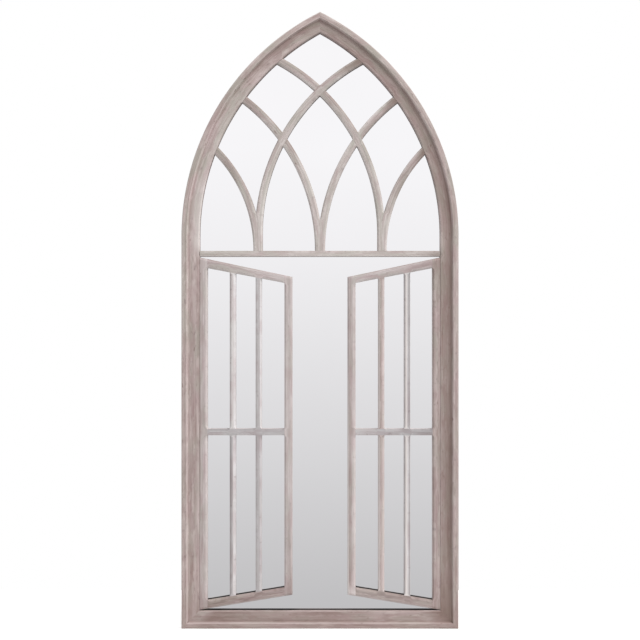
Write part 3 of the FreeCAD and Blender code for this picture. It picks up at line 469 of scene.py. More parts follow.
frame_fir = whitewashed_fir("frame", "#B7A5A1", "#D4C7C4", "#9F8B87", tinged=0.35)
sill_fir = whitewashed_fir("sill", "#B29F9B", "#D0C1BE", "#97837F", tinged=0.4)
tracery_fir = whitewashed_fir("tracery", "#C6BBB7", "#DDD6D3", "#A2958F",
                              tinged=0.35, wash_cover=0.48, mottled=0.35)
leaf_fir = whitewashed_fir("leaf", "#C0B3B1", "#DBD2D1", "#A89B99",
                           tinged=0.3, wash_cover=0.48, mottled=0.2)
bar_fir = whitewashed_fir("bar", "#DDD8D8", "#E8E5E6", "#CBC5C6",
                          tinged=0.15, wash_cover=0.4, mottled=0.15, wax_and_shade="#7C7678")
base_fir = whitewashed_fir("bottom rail", "#998883", "#BFB1AE", "#7B6B67",
                           tinged=0.4, wash_cover=0.55, mottled=0.6)
hardboard = speckled("pressed hardboard", "#755842", "#836450", grit=28, roughness=0.7, detail=8)
plywood = speckled("birch plywood", "#C9A77C", "#B8936A", grit=4, roughness=0.65)
foam = speckled("adhesive foam pad", "#3C3B3A", "#4A4947", grit=1.2, roughness=0.9, specular=0.2)
zinc = speckled("zinc plated steel", "#B9BCBF", "#A6A9AC", grit=6, roughness=0.32, metallic=1.0,
                bump=0.00004)
rubber = speckled("moulded rubber", "#26262A", "#2E2E31", grit=0.8, roughness=0.75, specular=0.3)
mirror = silvered_glass()


# Frame section

RIM_WIDTH, RIM_FRONT, RIM_EASE = 15, 30, 2
STEP_RUN = 5.5
BAND_FRONT = 22
SIGHT_BEVEL = 3
GLASS_REBATE, BOARD_REBATE = 8, 18
GLASS_EDGE, BOARD_EDGE = FRAME_WIDTH - GLASS_REBATE, FRAME_WIDTH - BOARD_REBATE
BOARD_FRONT, FRAME_BACK = -4.3, -10.3
FRAME_SOFTNESS = np.array([0.4, 1, 1, 1, 1, 1, 1, 0.3, 0.15, 0.15, 0.15, 0.4])
# Faces of the frame's section, by the corner that each starts from. The rim, the step and the band lie
# between the ease and the bevel.
EASE_FACE, BEVEL_FACE, SIGHT_FACE, SEAT_FACE, REBATE_FACE = 1, 5, 6, 7, 8


def arris_share(bevel, full):
    """Share of its softness that an arris keeps beside a bevel that runs out, as a column."""
    return np.clip(bevel / full, FAINTEST, 1)[:, None]


def frame_section(bevel):
    """Corners of the frame's section for each row, from its back edge round to the board's rebate."""
    level = np.ones(len(bevel))
    corners = [
        (0, FRAME_BACK), (0, RIM_FRONT - RIM_EASE), (RIM_EASE, RIM_FRONT), (RIM_WIDTH, RIM_FRONT),
        (RIM_WIDTH + STEP_RUN, BAND_FRONT), (FRAME_WIDTH - bevel, BAND_FRONT),
        (FRAME_WIDTH, BAND_FRONT - bevel), (FRAME_WIDTH, 0), (GLASS_EDGE, 0), (GLASS_EDGE, BOARD_FRONT),
        (BOARD_EDGE, BOARD_FRONT), (BOARD_EDGE, FRAME_BACK),
    ]
    rows = [np.stack([across * level, depth * level], axis=1) for across, depth in corners]
    return np.stack(rows, axis=1)


def frame_member(name, outer, inner, along, material, bevel, sight_stain_and_shade, places, knots, tones,
                 grain_start=None):
    """A piece of the frame between its outer and inner edge lines, which end at the mitres.

    Its tones at each knot are those of the ease, the rim, the step, the band and the bevel.
    """
    rows = len(outer)
    bevel = np.broadcast_to(bevel, rows)
    softness = np.tile(FRAME_SOFTNESS, (rows, 1))
    softness[:, [BEVEL_FACE, SIGHT_FACE]] *= arris_share(bevel, SIGHT_BEVEL)
    width = np.full(rows, float(FRAME_WIDTH))
    # The hidden faces are stained dark, and the sight face by the given amount, which paints its shade
    # too.
    hidden, sight = np.zeros((2, len(FRAME_SOFTNESS)))
    hidden[[SEAT_FACE, REBATE_FACE]] = 1
    sight[SIGHT_FACE] = 1
    stain_and_shade = spread(hidden) + np.multiply.outer(np.broadcast_to(sight_stain_and_shade, rows), spread(sight))
    tone = graded(places, knots, tones, len(FRAME_SOFTNESS), EASE_FACE)
    mesh = loft(name + "_wood", outer, inner, width, frame_section(bevel), softness, along,
                stain_and_shade, tone, grain_start)
    show(mesh, material, name)


def upright_lines(side, edges, rows):
    """The two edge lines of an upright member, at their distances from the middle of the mirror."""
    return [np.stack([side * edge + 0 * up, up], axis=1) for edge, up in zip(edges, rows.T)]


def level_lines(rows, levels):
    """The two edge lines of a member that lies across the mirror, at their levels."""
    return [np.stack([places, up + 0 * places], axis=1) for places, up in zip(rows.T, levels)]


def arch_line(side, radius, places):
    """Points of one side of the pointed arch: a circle about a centre on the other side."""
    angle = places / radius
    across = side * (radius * np.cos(angle) - ARCH_OFFSET)
    return np.stack([across, SPRINGING + radius * np.sin(angle)], axis=1)


# Lattice members

# Softness of the six corners of a bar's section.
BAR_SOFTNESS = np.array([0.3, 1, 1, 1, 1, 0.3])


def lattice_member(name, lines, along, width, back, front, bevels, material, stain_and_shade, knots, tones,
                   full_bevel=EDGE_BEVEL):
    """A bar of the lattice between its low and high edge lines, whose arrises fade out with its bevels.

    Each measure is one value, or one for each row. The two sides behind the bevels get a dark stain,
    which also paints the shade there, by the given amounts. The tones at each knot are those of the low
    side, the low bevel, the front, the high bevel and the high side.
    """
    measures = [np.broadcast_to(value, len(along)) for value in (width, back, front, *bevels)]
    width, back, front, low_bevel, high_bevel = np.array(measures, float)
    # Corners 1 and 2 carry the low bevel, 3 and 4 the high one.
    softness = np.tile(BAR_SOFTNESS, (len(along), 1))
    softness[:, 1:3] *= arris_share(low_bevel, full_bevel)
    softness[:, 3:5] *= arris_share(high_bevel, full_bevel)
    section = bar_section(width, back, front, low_bevel, high_bevel)
    side_stains_and_shade = spread([stain_and_shade[0], 0, 0, 0, stain_and_shade[1], 1])
    tone = graded(along[:, 0], knots, tones, len(BAR_SOFTNESS))
    mesh = loft(name + "_wood", *lines, width, section, softness, along, side_stains_and_shade, tone)
    show(mesh, material, name)


def run_out(places, stretches, bevel):
    """Bevel along an edge: full beside an open stretch, running out at 45 degrees where it ends."""
    room = [np.minimum(places - start, end - places) for start, end in stretches]
    return np.clip(np.max(room, axis=0), HAIRLINE, bevel)


def run_in(places, joints, bevel, least=HAIRLINE):
    """Bevel along an edge: least along each joint, growing at 45 degrees away from it."""
    apart = [np.maximum(start - places, places - end) for start, end in joints]
    return np.clip(np.min(apart, axis=0, initial=bevel), least, bevel)


# Tracery: six ribs, worked out as they lean right and mirrored for those that lean left

# A rib is searched for what it meets up to this many radii along, at this many points.
RIB_SEARCH, SEARCH_POINTS = 1.4, 8001


def rib_line(kind, places, offset):
    """Points beside a rib's middle line: up the straight foot, then round the arc.

    The offset is measured away from the middle of the arc.
    """
    radius, _, middle, level = RIBS[kind]
    stem = level - TRANSOM_TOP
    angle = np.maximum(places - stem, 0) / radius
    across = middle - (radius + offset) * np.cos(angle)
    up = TRANSOM_TOP + np.minimum(places, stem) + (radius + offset) * np.sin(angle)
    return np.stack([across, up], axis=1)


def rib_meets(kind, centre, radius):
    """Places where a rib's inner and outer edges leave a circle: the first point outside it."""
    places = np.linspace(0, RIB_SEARCH * RIBS[kind][0], SEARCH_POINTS)
    found = []
    for offset in (-RIB_HALF, RIB_HALF):
        beyond = np.linalg.norm(rib_line(kind, places, offset) - centre, axis=1) - radius
        after = int(np.argmax(beyond > 0))
        share = beyond[after - 1] / (beyond[after - 1] - beyond[after])
        found.append(places[after - 1] + share * (places[after] - places[after - 1]))
    return found


def foot_limit(kind, outer):
    """Keep a rib's outer edge on its own side of the rib that shares its foot.

    The two part on the plane through the foot. A long rib then follows the short rib's outer edge.
    """
    limit = np.full(len(outer), float(RIBS[kind][1]))
    if kind == "long":
        radius, _, middle, level = RIBS["short"]
        edge = radius + RIB_HALF + LAP_PLAY
        rise = np.clip(outer[:, 1] - level, 0, edge)
        limit = np.minimum(limit, np.sqrt(edge ** 2 - rise ** 2) - middle)
    held = np.stack([np.maximum(outer[:, 0], limit), outer[:, 1]], axis=1)
    return held, held[:, 0] - outer[:, 0]


def parting(kind):
    """Place on a rib's outer edge where it leaves the rib that shares its foot."""
    radius, _, middle, level = RIBS[FOOT_PARTNER[kind]]
    return rib_meets(kind, (-middle, level), radius + RIB_HALF)[1]


# Finish of each kind of rib by the way it leans, 1 to the right. First come shares of the rib: where
# the foot's tone ends and its own starts, and where its own ends and the end's starts. Then comes its
# own tone, which paints shade and light on its bevels and sides by the way it leans. The feet, which
# two ribs share, all have one tone, and the ends, where they meet the arch, are darker with painted
# shade.
RIB_FINISHES = {
    ("long", 1): ((0.5, 0.7, 0.88, 0.99), (0, 0, (-0.3, -0.15), 0.2, 0)),
    ("long", -1): ((0.2, 0.4, 0.88, 0.99), (0.3, 0.75, (-0.25, -0.1), -0.5, 0)),
    ("middle", 1): ((0.3, 0.55, 0.88, 0.99), (0, -0.15, (-0.15, 0.1), 0.85, 0)),
    ("middle", -1): ((0.3, 0.55, 0.72, 0.99), (0.3, 1.1, (-0.05, 0), -0.7, 0)),
    ("short", 1): ((0.3, 0.55, 0.88, 0.99), (-0.4, -0.45, (-0.45, -0.2), 0.35, 0)),
    ("short", -1): ((0.3, 0.55, 0.58, 0.72), (-0.3, 0.7, (0.1, -0.1), -0.5, 0)),
}
FOOT_TONE = (0, 0.35, 0.25, 0.35, 0)
END_TONES = {1: (-0.6, -0.8, -1, -0.6, -0.3), -1: (0, 0, -0.5, -0.65, 0)}
# Stain of a rib's two sides, by the way it leans, which also paints the shade there.
RIB_STAINS_AND_SHADE = {1: (0.4, 0.4), -1: (0, 0.4)}


def rib_member(name, kind, lean, crossings):
    """A rib from the transom to the frame. A crossing is the other rib, and if this one is over it."""
    stations = [(0, 0)]
    under_spans = []
    over_spans = []
    # Stretches of the two edges that meet other ribs. The outer edge starts with the shared foot.
    inner_joints = []
    outer_joints = [(0, parting(kind))]
    for other, over in crossings:
        radius, _, middle, level = RIBS[other]
        centre = (-middle, level)
        start, end = [rib_meets(kind, centre, radius + reach) for reach in (-RIB_HALF, RIB_HALF)]
        (over_spans if over else under_spans).append(len(stations))
        stations += [start, end]
        inner_joints.append((start[0], end[0]))
        outer_joints.append((start[1], end[1]))
    stations.append(rib_meets(kind, (-ARCH_OFFSET, SPRINGING), SIGHT_RADIUS - LATTICE_GAP))
    rows, spans = lay_rows(stations, stepped=range(1, len(stations) - 1))
    inner = rib_line(kind, rows[:, 0], -RIB_HALF)
    outer, cut_back = foot_limit(kind, rib_line(kind, rows[:, 1], RIB_HALF))
    joined = cut_back > 0
    width = np.where(joined, np.linalg.norm(outer - inner, axis=1), 2 * RIB_HALF)
    joints = (inner_joints, outer_joints)
    bevels = [run_in(places, spots, RIB_BEVEL) for places, spots in zip(rows.T, joints)]
    front = np.where(np.isin(spans, under_spans), RIB_LAP - LAP_PLAY, TRACERY_FRONT)
    back = np.where(np.isin(spans, over_spans), RIB_LAP + LAP_PLAY, LATTICE_BACK)
    shares, own_tone = RIB_FINISHES[kind, lean]
    reach = np.multiply(shares, stations[-1][0])
    tones = [FOOT_TONE, own_tone, own_tone, END_TONES[lean]]
    lines = np.stack([inner, outer]) * [lean, 1]
    lattice_member(name, lines, rows, width, back, front, bevels, tracery_fir, RIB_STAINS_AND_SHADE[lean],
                   reach, tones, RIB_BEVEL)


for side_name, side in SIDES.items():
    rib_member(side_name + "_long_rib", "long", -side, [("middle", True), ("long", side < 0)])
    rib_member(side_name + "_middle_rib", "middle", side, [("long", False)])
    rib_member(side_name + "_short_rib", "short", side, [])


# Frame: one section, mitred at the corners and at the point

def rib_ends():
    """Stretches of an arch rib's sight edge that the tracery meets, as lengths from the springing."""
    centre = (-ARCH_OFFSET, SPRINGING)
    stretches = []
    for kind in RIBS:
        places = rib_meets(kind, centre, SIGHT_RADIUS - LATTICE_GAP)
        ends = [rib_line(kind, np.array([place]), offset)[0] - centre
                for place, offset in zip(places, (-RIB_HALF, RIB_HALF))]
        turns = sorted(math.atan2(end[1], end[0]) for end in ends)
        stretches.append([turn * SIGHT_RADIUS for turn in turns])
    return stretches


inner_half = HALF_WIDTH - FRAME_WIDTH
sill_rows, _ = lay_rows([(-HALF_WIDTH, -inner_half), (HALF_WIDTH, inner_half)])
sill_lines = level_lines(sill_rows, (0, FRAME_WIDTH))

jamb_rows, _ = lay_rows([(0, FRAME_WIDTH), (SPRINGING, SPRINGING)])
arch_ends = [radius * math.acos(ARCH_OFFSET / radius) for radius in (ARCH_RADIUS, SIGHT_RADIUS)]
arch_rows, _ = lay_rows([(0, 0), arch_ends])
arch_bevel = run_in(arch_rows[:, 1], rib_ends(), SIGHT_BEVEL)
# Tone of each jamb up its height, which paints shade and light: the right jamb's band and step are
# darker where its rim shades them. Its arch rib takes up the last one at the springing.
JAMB_REACH = {"left": (720, 900, 1070, 1120), "right": (70, 180, 440, 800, 1060, 1125)}
left_jamb_pale = (0.4, (0.25, -0.1), (0.15, 0), (-0.2, 0), -0.4)
JAMB_TONES = {
    "left": [
        (-0.1, (-0.15, -0.25), (0.15, 0), (-0.2, 0), -0.4),
        left_jamb_pale,
        left_jamb_pale,
        (0.4, (0.25, -0.1), (0.15, 0), (0, 0.8), 1),
    ],
    "right": [
        (-0.7, -0.3, (-0.5, -1), -1, (-0.3, 0)),
        (-0.45, 0, (0, -0.4), (-0.95, -0.45), (0, 0.2)),
        (-0.6, -0.2, (0, -0.4), (-1, -0.55), (0, 0.2)),
        (-0.25, 0.1, (0, -0.4), (-0.9, -0.4), (0, 0.2)),
        (-0.25, 0.1, (0, -0.4), (-0.95, -0.6), (-0.3, -0.2)),
        (-0.25, 0.1, (0, -0.4), (-0.9, -0.2), (0.4, 0.6)),
    ],
}
# Tone of the sill along its length, which paints shade and light. It takes up the right jamb's tone at
# the mitre.
SILL_REACH = (-375, -345, -220, 60, 180, 330, 400)
sill_shaded = (0.3, -0.4, (0.25, 0), (-0.8, -0.6), 0)
sill_plain = (0.5, -0.15, (0.25, 0), (-0.45, -0.2), 0)
sill_pale = (0.5, -0.15, (0.25, 0), (-0.1, 0.1), 0)
SILL_TONES = [
    sill_pale, sill_shaded, sill_plain, sill_plain, sill_pale, sill_pale, JAMB_TONES["right"][0],
]
# Stain of the frame's sight faces, which also paints the shade next to the glass. The sill's is darker
# under the leaves, out from the middle, with painted shade.
JAMB_STAIN_AND_SHADE, ARCH_STAIN_AND_SHADE = 0.2, 0.3
SILL_STAIN_AND_SHADE_REACH, SILL_STAINS_AND_SHADE = (60, 150), (1, 3)
sill_stain_and_shade = np.interp(np.abs(sill_rows[:, 1]), SILL_STAIN_AND_SHADE_REACH, SILL_STAINS_AND_SHADE)
frame_member("sill_rail", *sill_lines, sill_rows, sill_fir, SIGHT_BEVEL, sill_stain_and_shade,
             sill_rows[:, 0], SILL_REACH, SILL_TONES)

# Tone of each arch rib along its sight edge, from the springing, which paints shade and light: the
# right one's band is darker where its rim shades it.
ARCH_REACH = {"left": (0, 150, 210, 330, 580), "right": (0, 120, 330, 580)}
ARCH_TONES = {
    "left": [
        JAMB_TONES["left"][-1],
        (0.3, -0.1, (0.35, 0.1), (0.1, 0.65), 0.8),
        (0.3, -0.1, (0.2, 0), (0, 0.1), 0),
        (0.2, -0.2, 0, (0.15, 0.3), -0.1),
        (0.5, 0, (-0.3, -0.45), (-0.6, -0.05), -0.2),
    ],
    "right": [
        JAMB_TONES["right"][-1],
        (-0.6, -0.15, (0, -0.4), (-0.75, -0.5), -0.2),
        (-0.3, 0, (0.1, -0.4), (-0.65, -0.5), -0.2),
        (-0.25, 0, (0, -0.3), (-0.55, -0.5), -0.35),
    ],
}
# The sight bevel is slight where a leaf lies against it.
LEAF_SIDE_BEVEL = 1.2
leaf_ends = (LEAF_LINES["base"][0], LEAF_LINES["top"][0])
jamb_bevel = run_in(jamb_rows[:, 1], [leaf_ends], SIGHT_BEVEL, LEAF_SIDE_BEVEL)
for side_name, side in SIDES.items():
    grain_start = chance.uniform(0, GRAIN_SQUARE, 2)
    jamb_lines = upright_lines(side, (HALF_WIDTH, inner_half), jamb_rows)
    frame_member(side_name + "_jamb", *jamb_lines, jamb_rows, frame_fir, jamb_bevel, JAMB_STAIN_AND_SHADE,
                 jamb_rows[:, 1], JAMB_REACH[side_name], JAMB_TONES[side_name], grain_start)
    arch_outer = arch_line(side, ARCH_RADIUS, arch_rows[:, 0])
    arch_inner = arch_line(side, SIGHT_RADIUS, arch_rows[:, 1])
    frame_member(side_name + "_arch_rib", arch_outer, arch_inner, arch_rows + SPRINGING, frame_fir,
                 arch_bevel, ARCH_STAIN_AND_SHADE, arch_rows[:, 1], ARCH_REACH[side_name], ARCH_TONES[side_name],
                 grain_start)


# Transom, flat where the feet of the tracery stand on it

feet = [middle - radius + RIB_HALF for radius, _, middle, _ in RIBS.values()]
foot_edges = [-LATTICE_HALF, -feet[2], feet[0], -feet[1], feet[1], -feet[0], feet[2], LATTICE_HALF]
transom_rows, _ = lay_rows([(edge, edge) for edge in foot_edges])
# Tone of the transom at its left end, in the middle, and where it starts to darken and is darkest near
# its right end, which paints shade and light: painted shade near that end, and painted light on the
# lower bevel.
TRANSOM_REACH = (-LATTICE_HALF, 0, LATTICE_HALF - 70, LATTICE_HALF - 10)
TRANSOM_TONES = [
    (0, 0.6, (0.1, 0.25), -0.4, 0),
    (0, 1, 0.4, -0.2, 0),
    (0, 0.8, (0.2, 0), -0.6, 0),
    (0, -0.2, -0.6, -0.8, 0),
]
# Stain of the transom's lower and upper sides, which also paints the shade there.
TRANSOM_STAIN_AND_SHADE = (1.5, 0.5)
transom_bevels = [
    TRANSOM_BEVEL,
    run_out(transom_rows[:, 1], list(zip(foot_edges[0::2], foot_edges[1::2])), TRANSOM_BEVEL),
]
transom_lines = level_lines(transom_rows, (TRANSOM_BASE, TRANSOM_TOP))
lattice_member("transom", transom_lines, transom_rows, TRANSOM_TOP - TRANSOM_BASE, LATTICE_BACK,
               TRACERY_FRONT, transom_bevels, tracery_fir, TRANSOM_STAIN_AND_SHADE, TRANSOM_REACH, TRANSOM_TONES)


# Leaves

# Stain of the sides of most of a leaf's members, which also paints the shade there.
LEAF_STAIN_AND_SHADE = (0.1, 0.1)


def leaf_line(title, across):
    """Level of one of the leaf's straight lines at a distance from the middle of the mirror."""
    at_hinge, at_free = LEAF_LINES[title]
    return at_hinge + (at_free - at_hinge) * (LEAF_HINGE - across) / LEAF_WIDTH


def pane_heights(across):
    """The stretches of an upright's edge that a pane lies beside."""
    return [(leaf_line("base_over", across), MID_LOW), (MID_HIGH, leaf_line("top_under", across))]


def pane_widths():
    """The stretches of a rail's edge that a pane lies beside, from the free to the hinge stile."""
    outer, inner = BARS["outer"], BARS["inner"]
    return [
        (STILE_FREE, inner - BAR_HALF),
        (inner + BAR_HALF, outer - BAR_HALF),
        (outer + BAR_HALF, STILE_HINGE),
    ]


def pane_bevels(bevels, rows, panes):
    """Bevels along a member's two edges. One beside panes runs out where they end, others are even."""
    return [
        run_out(places, stretches, bevel) if bevel == PANE_BEVEL else bevel
        for bevel, places, stretches in zip(bevels, rows.T, panes)
    ]


def stile(name, side, edges, bevels, material, fade, tones):
    """An upright at a leaf's edge. Its ends slant with the rails and are bevelled in front.

    It has one of its tones at each level of the fade, and changes evenly between them.
    """
    ends = [[leaf_line(title, edge) for edge in edges] for title in ("base", "top")]
    inset = [[place + step for place in end] for end, step in zip(ends, (EDGE_BEVEL, -EDGE_BEVEL))]
    rows, _ = lay_rows([ends[0], *inset, ends[1]])
    from_end = np.minimum(rows[:, 0] - ends[0][0], ends[1][0] - rows[:, 0])
    front = LEAF_FRONT - np.maximum(EDGE_BEVEL - from_end, 0)
    bevels = pane_bevels(bevels, rows, [pane_heights(edge) for edge in edges])
    lattice_member(name, upright_lines(side, edges, rows), rows, edges[0] - edges[1], LATTICE_BACK,
                   front, bevels, material, LEAF_STAIN_AND_SHADE, fade, tones)


def rail(name, side, titles, bevels, material, stain_and_shade, tones, over_bars=False):
    """A rail between the stiles and between two lines of the leaf, with a bevel along each.

    The bevels of its panes run out where a bar meets it. Its tone changes from the free stile to the
    hinge stile. A rail over the bars is notched behind.
    """
    panes = pane_widths()
    stops = [STILE_FREE]
    for start, _ in panes[1:]:
        stops += [start - 2 * BAR_HALF, start]
    stops.append(STILE_HINGE)
    stepped = range(1, len(stops) - 1) if over_bars else ()
    rows, spans = lay_rows([(stop, stop) for stop in stops], stepped)
    levels = [leaf_line(title, rows[:, 0]) for title in titles]
    notched = over_bars & (spans % 2 == 1)
    back = np.where(notched, LEAF_LAP + LAP_PLAY, LATTICE_BACK)
    lattice_member(name, level_lines(side * rows, levels), rows, levels[1] - levels[0], back,
                   LEAF_FRONT, pane_bevels(bevels, rows, 2 * [panes]), material, stain_and_shade,
                   (STILE_FREE, STILE_HINGE), tones)


def glazing_bar(name, side, middle, material, tones):
    """An upright bar between the top and bottom rails, notched under the middle rail.

    The tones are those of its two halves, under that rail and above it.
    """
    edges = (middle + BAR_HALF, middle - BAR_HALF)
    ends = [[leaf_line(title, edge) for edge in edges] for title in ("base_over", "top_under")]
    notch = [(MID_LOW - LAP_PLAY,) * 2, (MID_HIGH + LAP_PLAY,) * 2]
    rows, spans = lay_rows([ends[0], *notch, ends[1]], stepped=(1, 2))
    front = np.where(spans == 1, LEAF_LAP - LAP_PLAY, LEAF_FRONT)
    bevels = pane_bevels((PANE_BEVEL, PANE_BEVEL), rows, [pane_heights(edge) for edge in edges])
    lattice_member(name, upright_lines(side, edges, rows), rows, 2 * BAR_HALF, LATTICE_BACK, front,
                   bevels, material, LEAF_STAIN_AND_SHADE, (MID_LOW, MID_HIGH), tones)


# Tone of each upright's left side, left bevel, front, right bevel and right side, from low down to high
# up. A stile changes between the levels of its fade, a bar where it passes the middle rail.
# These tones paint shade and light: paler and darker sides and bevels by how the light falls on them.
STILE_FADES = {
    "left": {"hinge": (70, 260), "free": (120, 420)},
    "right": {"hinge": (70, 260, 980, 1050), "free": (105, 140, 500, 800)},
}
STILE_TONES = {
    "left": {
        "hinge": [(0.2, -0.1, (-0.35, -0.2), 0.05, 0.8), (0.5, -0.05, (-0.3, 0.05), 0.4, 1)],
        "free": [(0.3, 0, (-0.2, -0.55), -0.5, 0.3), (0.5, 0.35, (0.25, 0.1), 0, 0.7)],
    },
    "right": {
        "hinge": [
            (1, -0.45, (-0.1, -0.2), 0, 0.3),
            (1, -0.15, (-0.08, -0.28), -0.1, 0.2),
            (1, -0.15, (-0.08, -0.28), -0.1, 0.2),
            (0.6, -0.5, (-0.25, -0.5), -0.4, 0),
        ],
        "free": [
            (0.9, 1, (0.5, 0.7), 0.9, 1),
            (0.8, 1, (-0.5, 0.2), 0.4, 1),
            (0.8, 1, (-0.5, 0.2), 0.4, 1),
            (0.7, 0, (-0.25, 0.1), -0.15, 0.8),
        ],
    },
}
BAR_TONES = {
    "left": {
        "outer": [(0.25, -0.6, (-0.55, 0.2), -0.15, 0.4), (0.3, -0.1, (0.3, 0.4), 0.1, 0.6)],
        "inner": [(0.3, -0.35, (-0.55, -0.5), -0.4, 0.4), (0.3, -0.15, (-0.4, -0.4), 0, 0.8)],
    },
    "right": {
        "inner": [(0.5, 1, (0.05, 0.3), 0.5, 0.9), (0.5, 0.9, (-0.05, 0.15), 0.4, 0.8)],
        "outer": [
            (0.4, (-0.6, 1), (1, 0), (-0.9, -0.7), 0.8),
            (0.4, (-0.5, 1), (1, -0.5), (-1, -0.7), 0.6),
        ],
    },
}
# Tone of the rails at the free stile and at the hinge stile, which paints shade and light on them.
RAIL_TONES = {
    "left": {
        "top": [(0.3, 1, 0.15, -0.25, 0), (0, 0.6, 0, -0.4, 0)],
        "mid": [(0.4, -0.05, -0.6, -0.85, 0.8), (0.4, 0.3, -0.5, -1, 0.8)],
        "bottom": [(0, 0.5, 0.1, 0, 0), (0, 0.4, -0.25, 0, 0)],
    },
    "right": {
        "top": [(0.3, 1, 0.15, -0.25, 0), (0, 0.4, -0.25, -0.5, 0)],
        "mid": [(0.4, 0.3, -0.3, -0.6, 0.8), (0.2, -0.2, -0.8, -1, 0.5)],
        "bottom": [(0, 0.65, 0.2, 0.2, 0), (0, 0.5, 0.08, 0, 0)],
    },
}
# The uprights whose wood is as warm as the frame's.
WARM_UPRIGHTS = {("right", "hinge"), ("right", "inner")}
# Each stile: its two edges, the one further from the middle of the mirror first, and their bevels.
STILES = {
    "hinge": ((LEAF_HINGE, STILE_HINGE), (HAIRLINE, PANE_BEVEL)),
    "free": ((STILE_FREE, LEAF_FREE), (PANE_BEVEL, EDGE_BEVEL)),
}
# Each rail: the lines that it lies between, its bevels along them, its wood and the stain of its sides,
# which also paints the shade there.
RAILS = {
    "top": (("top_under", "top"), (PANE_BEVEL, EDGE_BEVEL), leaf_fir, (0.4, 0.3)),
    "mid": (("mid_under", "mid_over"), (PANE_BEVEL, PANE_BEVEL), bar_fir, LEAF_STAIN_AND_SHADE),
    "bottom": (("base", "base_over"), (EDGE_BEVEL, PANE_BEVEL), base_fir, (0, 1)),
}


def upright_rows(rows, side):
    """An upright's tones from its low edge, which is its left one on the left leaf only."""
    pairs = np.array([[np.broadcast_to(value, 2) for value in row] for row in rows], float)
    return pairs if side < 0 else pairs[:, ::-1, ::-1]


for side_name, side in SIDES.items():
    for title, (edges, bevels) in STILES.items():
        material = frame_fir if (side_name, title) in WARM_UPRIGHTS else leaf_fir
        stile(f"{side_name}_{title}_stile", side, edges, bevels, material,
              STILE_FADES[side_name][title], upright_rows(STILE_TONES[side_name][title], side))
    for title, (lines, bevels, material, stain_and_shade) in RAILS.items():
        rail(f"{side_name}_{title}_rail", side, lines, bevels, material, stain_and_shade,
             RAIL_TONES[side_name][title], over_bars=title == "mid")
    for title, middle in BARS.items():
        material = frame_fir if (side_name, title) in WARM_UPRIGHTS else bar_fir
        glazing_bar(f"{side_name}_{title}_bar", side, middle, material,
                    upright_rows(BAR_TONES[side_name][title], side))


# Screws and bumpers on the back

SCREW_COLUMNS, BUMPER_COLUMNS = 40, 48
SHANK_RADIUS, HEAD_RADIUS, HEAD_HEIGHT, TIP = 1.75, 3.4, 2, 2
CROSS_REACH, CROSS_HALF, CROSS_DEPTH = 1.6, 0.42, 1.1
# Places of the backing screws: from the outer edge, across the sill, up the jambs and, in degrees, up
# the arch. Then those of the hangers and bumpers, and how far the screws go in.
SCREW_INSET = 40
SILL_SCREW = 180
JAMB_SCREWS = (200, 560, 920)
ARCH_SCREWS = (15, 40)
HANGER_ACROSS = 386.5
HANGER_SCREWS = (1067, 1044)
STRAP_BACK = 11.8
BUMPER_UP = 80
BACKING_GRIP, HANGER_GRIP = 16, 11.5


def turned(name, centres, turns, radius, depth):
    """Copies of a turned shape in one mesh: a profile carried round an axis that points at the wall.

    A point lies at its radius from the axis, which may change with the angle, and at its depth along
    the axis. Each copy has its own centre and turn. The first and last rings are closed by flat caps.
    """
    rings, count = radius.shape
    angle = np.arange(count) * 2 * math.pi / count + np.asarray(turns)[:, None, None]
    level = np.broadcast_to(depth[:, None], angle.shape[:1] + radius.shape)
    shape = np.stack([radius * np.cos(angle), level, radius * np.sin(angle)], axis=3)
    points = (np.asarray(centres, float)[:, None, None, :] + shape).reshape(-1, 3) * MM
    ring, column = np.meshgrid(np.arange(rings - 1) * count, np.arange(count), indexing="ij")
    after = (column + 1) % count
    quads = np.stack([ring + column, ring + count + column, ring + count + after, ring + after], axis=2)
    starts = np.arange(len(centres))[:, None, None] * rings * count
    caps = np.stack([np.arange(count), (rings - 1) * count + np.arange(count)[::-1]]) + starts
    faces = (quads.reshape(-1, 4) + starts).reshape(-1, 4).tolist() + caps.reshape(-1, count).tolist()
    mesh = bpy.data.meshes.new(name)
    mesh.from_pydata(points.tolist(), [], faces)
    mesh.polygons.foreach_set("use_smooth", np.ones(len(mesh.polygons), bool))
    mesh.set_sharp_from_angle(angle=TURNED_EDGE)
    return mesh


def pan_screw(grip):
    """Radius and depth of a pan-head screw's rings, from its tip to the floor of its cross recess.

    The recess is as wide as a cross at each angle: up to the end of an arm, or to its side.
    """
    angle = np.arange(SCREW_COLUMNS) * 2 * math.pi / SCREW_COLUMNS
    from_arm = np.abs((angle + math.pi / 4) % (math.pi / 2) - math.pi / 4)
    least_sine = 0.01
    cross = np.minimum(CROSS_REACH, CROSS_HALF / np.maximum(np.sin(from_arm), least_sine))
    # Each round ring: its radius and its height over the seat.
    round_rings = [
        (0.15, -grip - TIP), (SHANK_RADIUS, -grip), (SHANK_RADIUS, 0), (HEAD_RADIUS - 0.2, 0),
        (HEAD_RADIUS, 0.2), (HEAD_RADIUS, 0.8), (3.2, 1.3), (2.7, 1.7), (2.1, 1.9),
    ]
    # Each ring of the recess: its share of the cross and of the cross's depth.
    recess_rings = [(1, 0), (0.8, 1), (0.3, 1.2)]
    radius = [np.full(SCREW_COLUMNS, ring) for ring, _ in round_rings]
    radius += [share * cross for share, _ in recess_rings]
    depth = [height for _, height in round_rings]
    depth += [HEAD_HEIGHT - share * CROSS_DEPTH for _, share in recess_rings]
    return np.array(radius), np.array(depth, float)


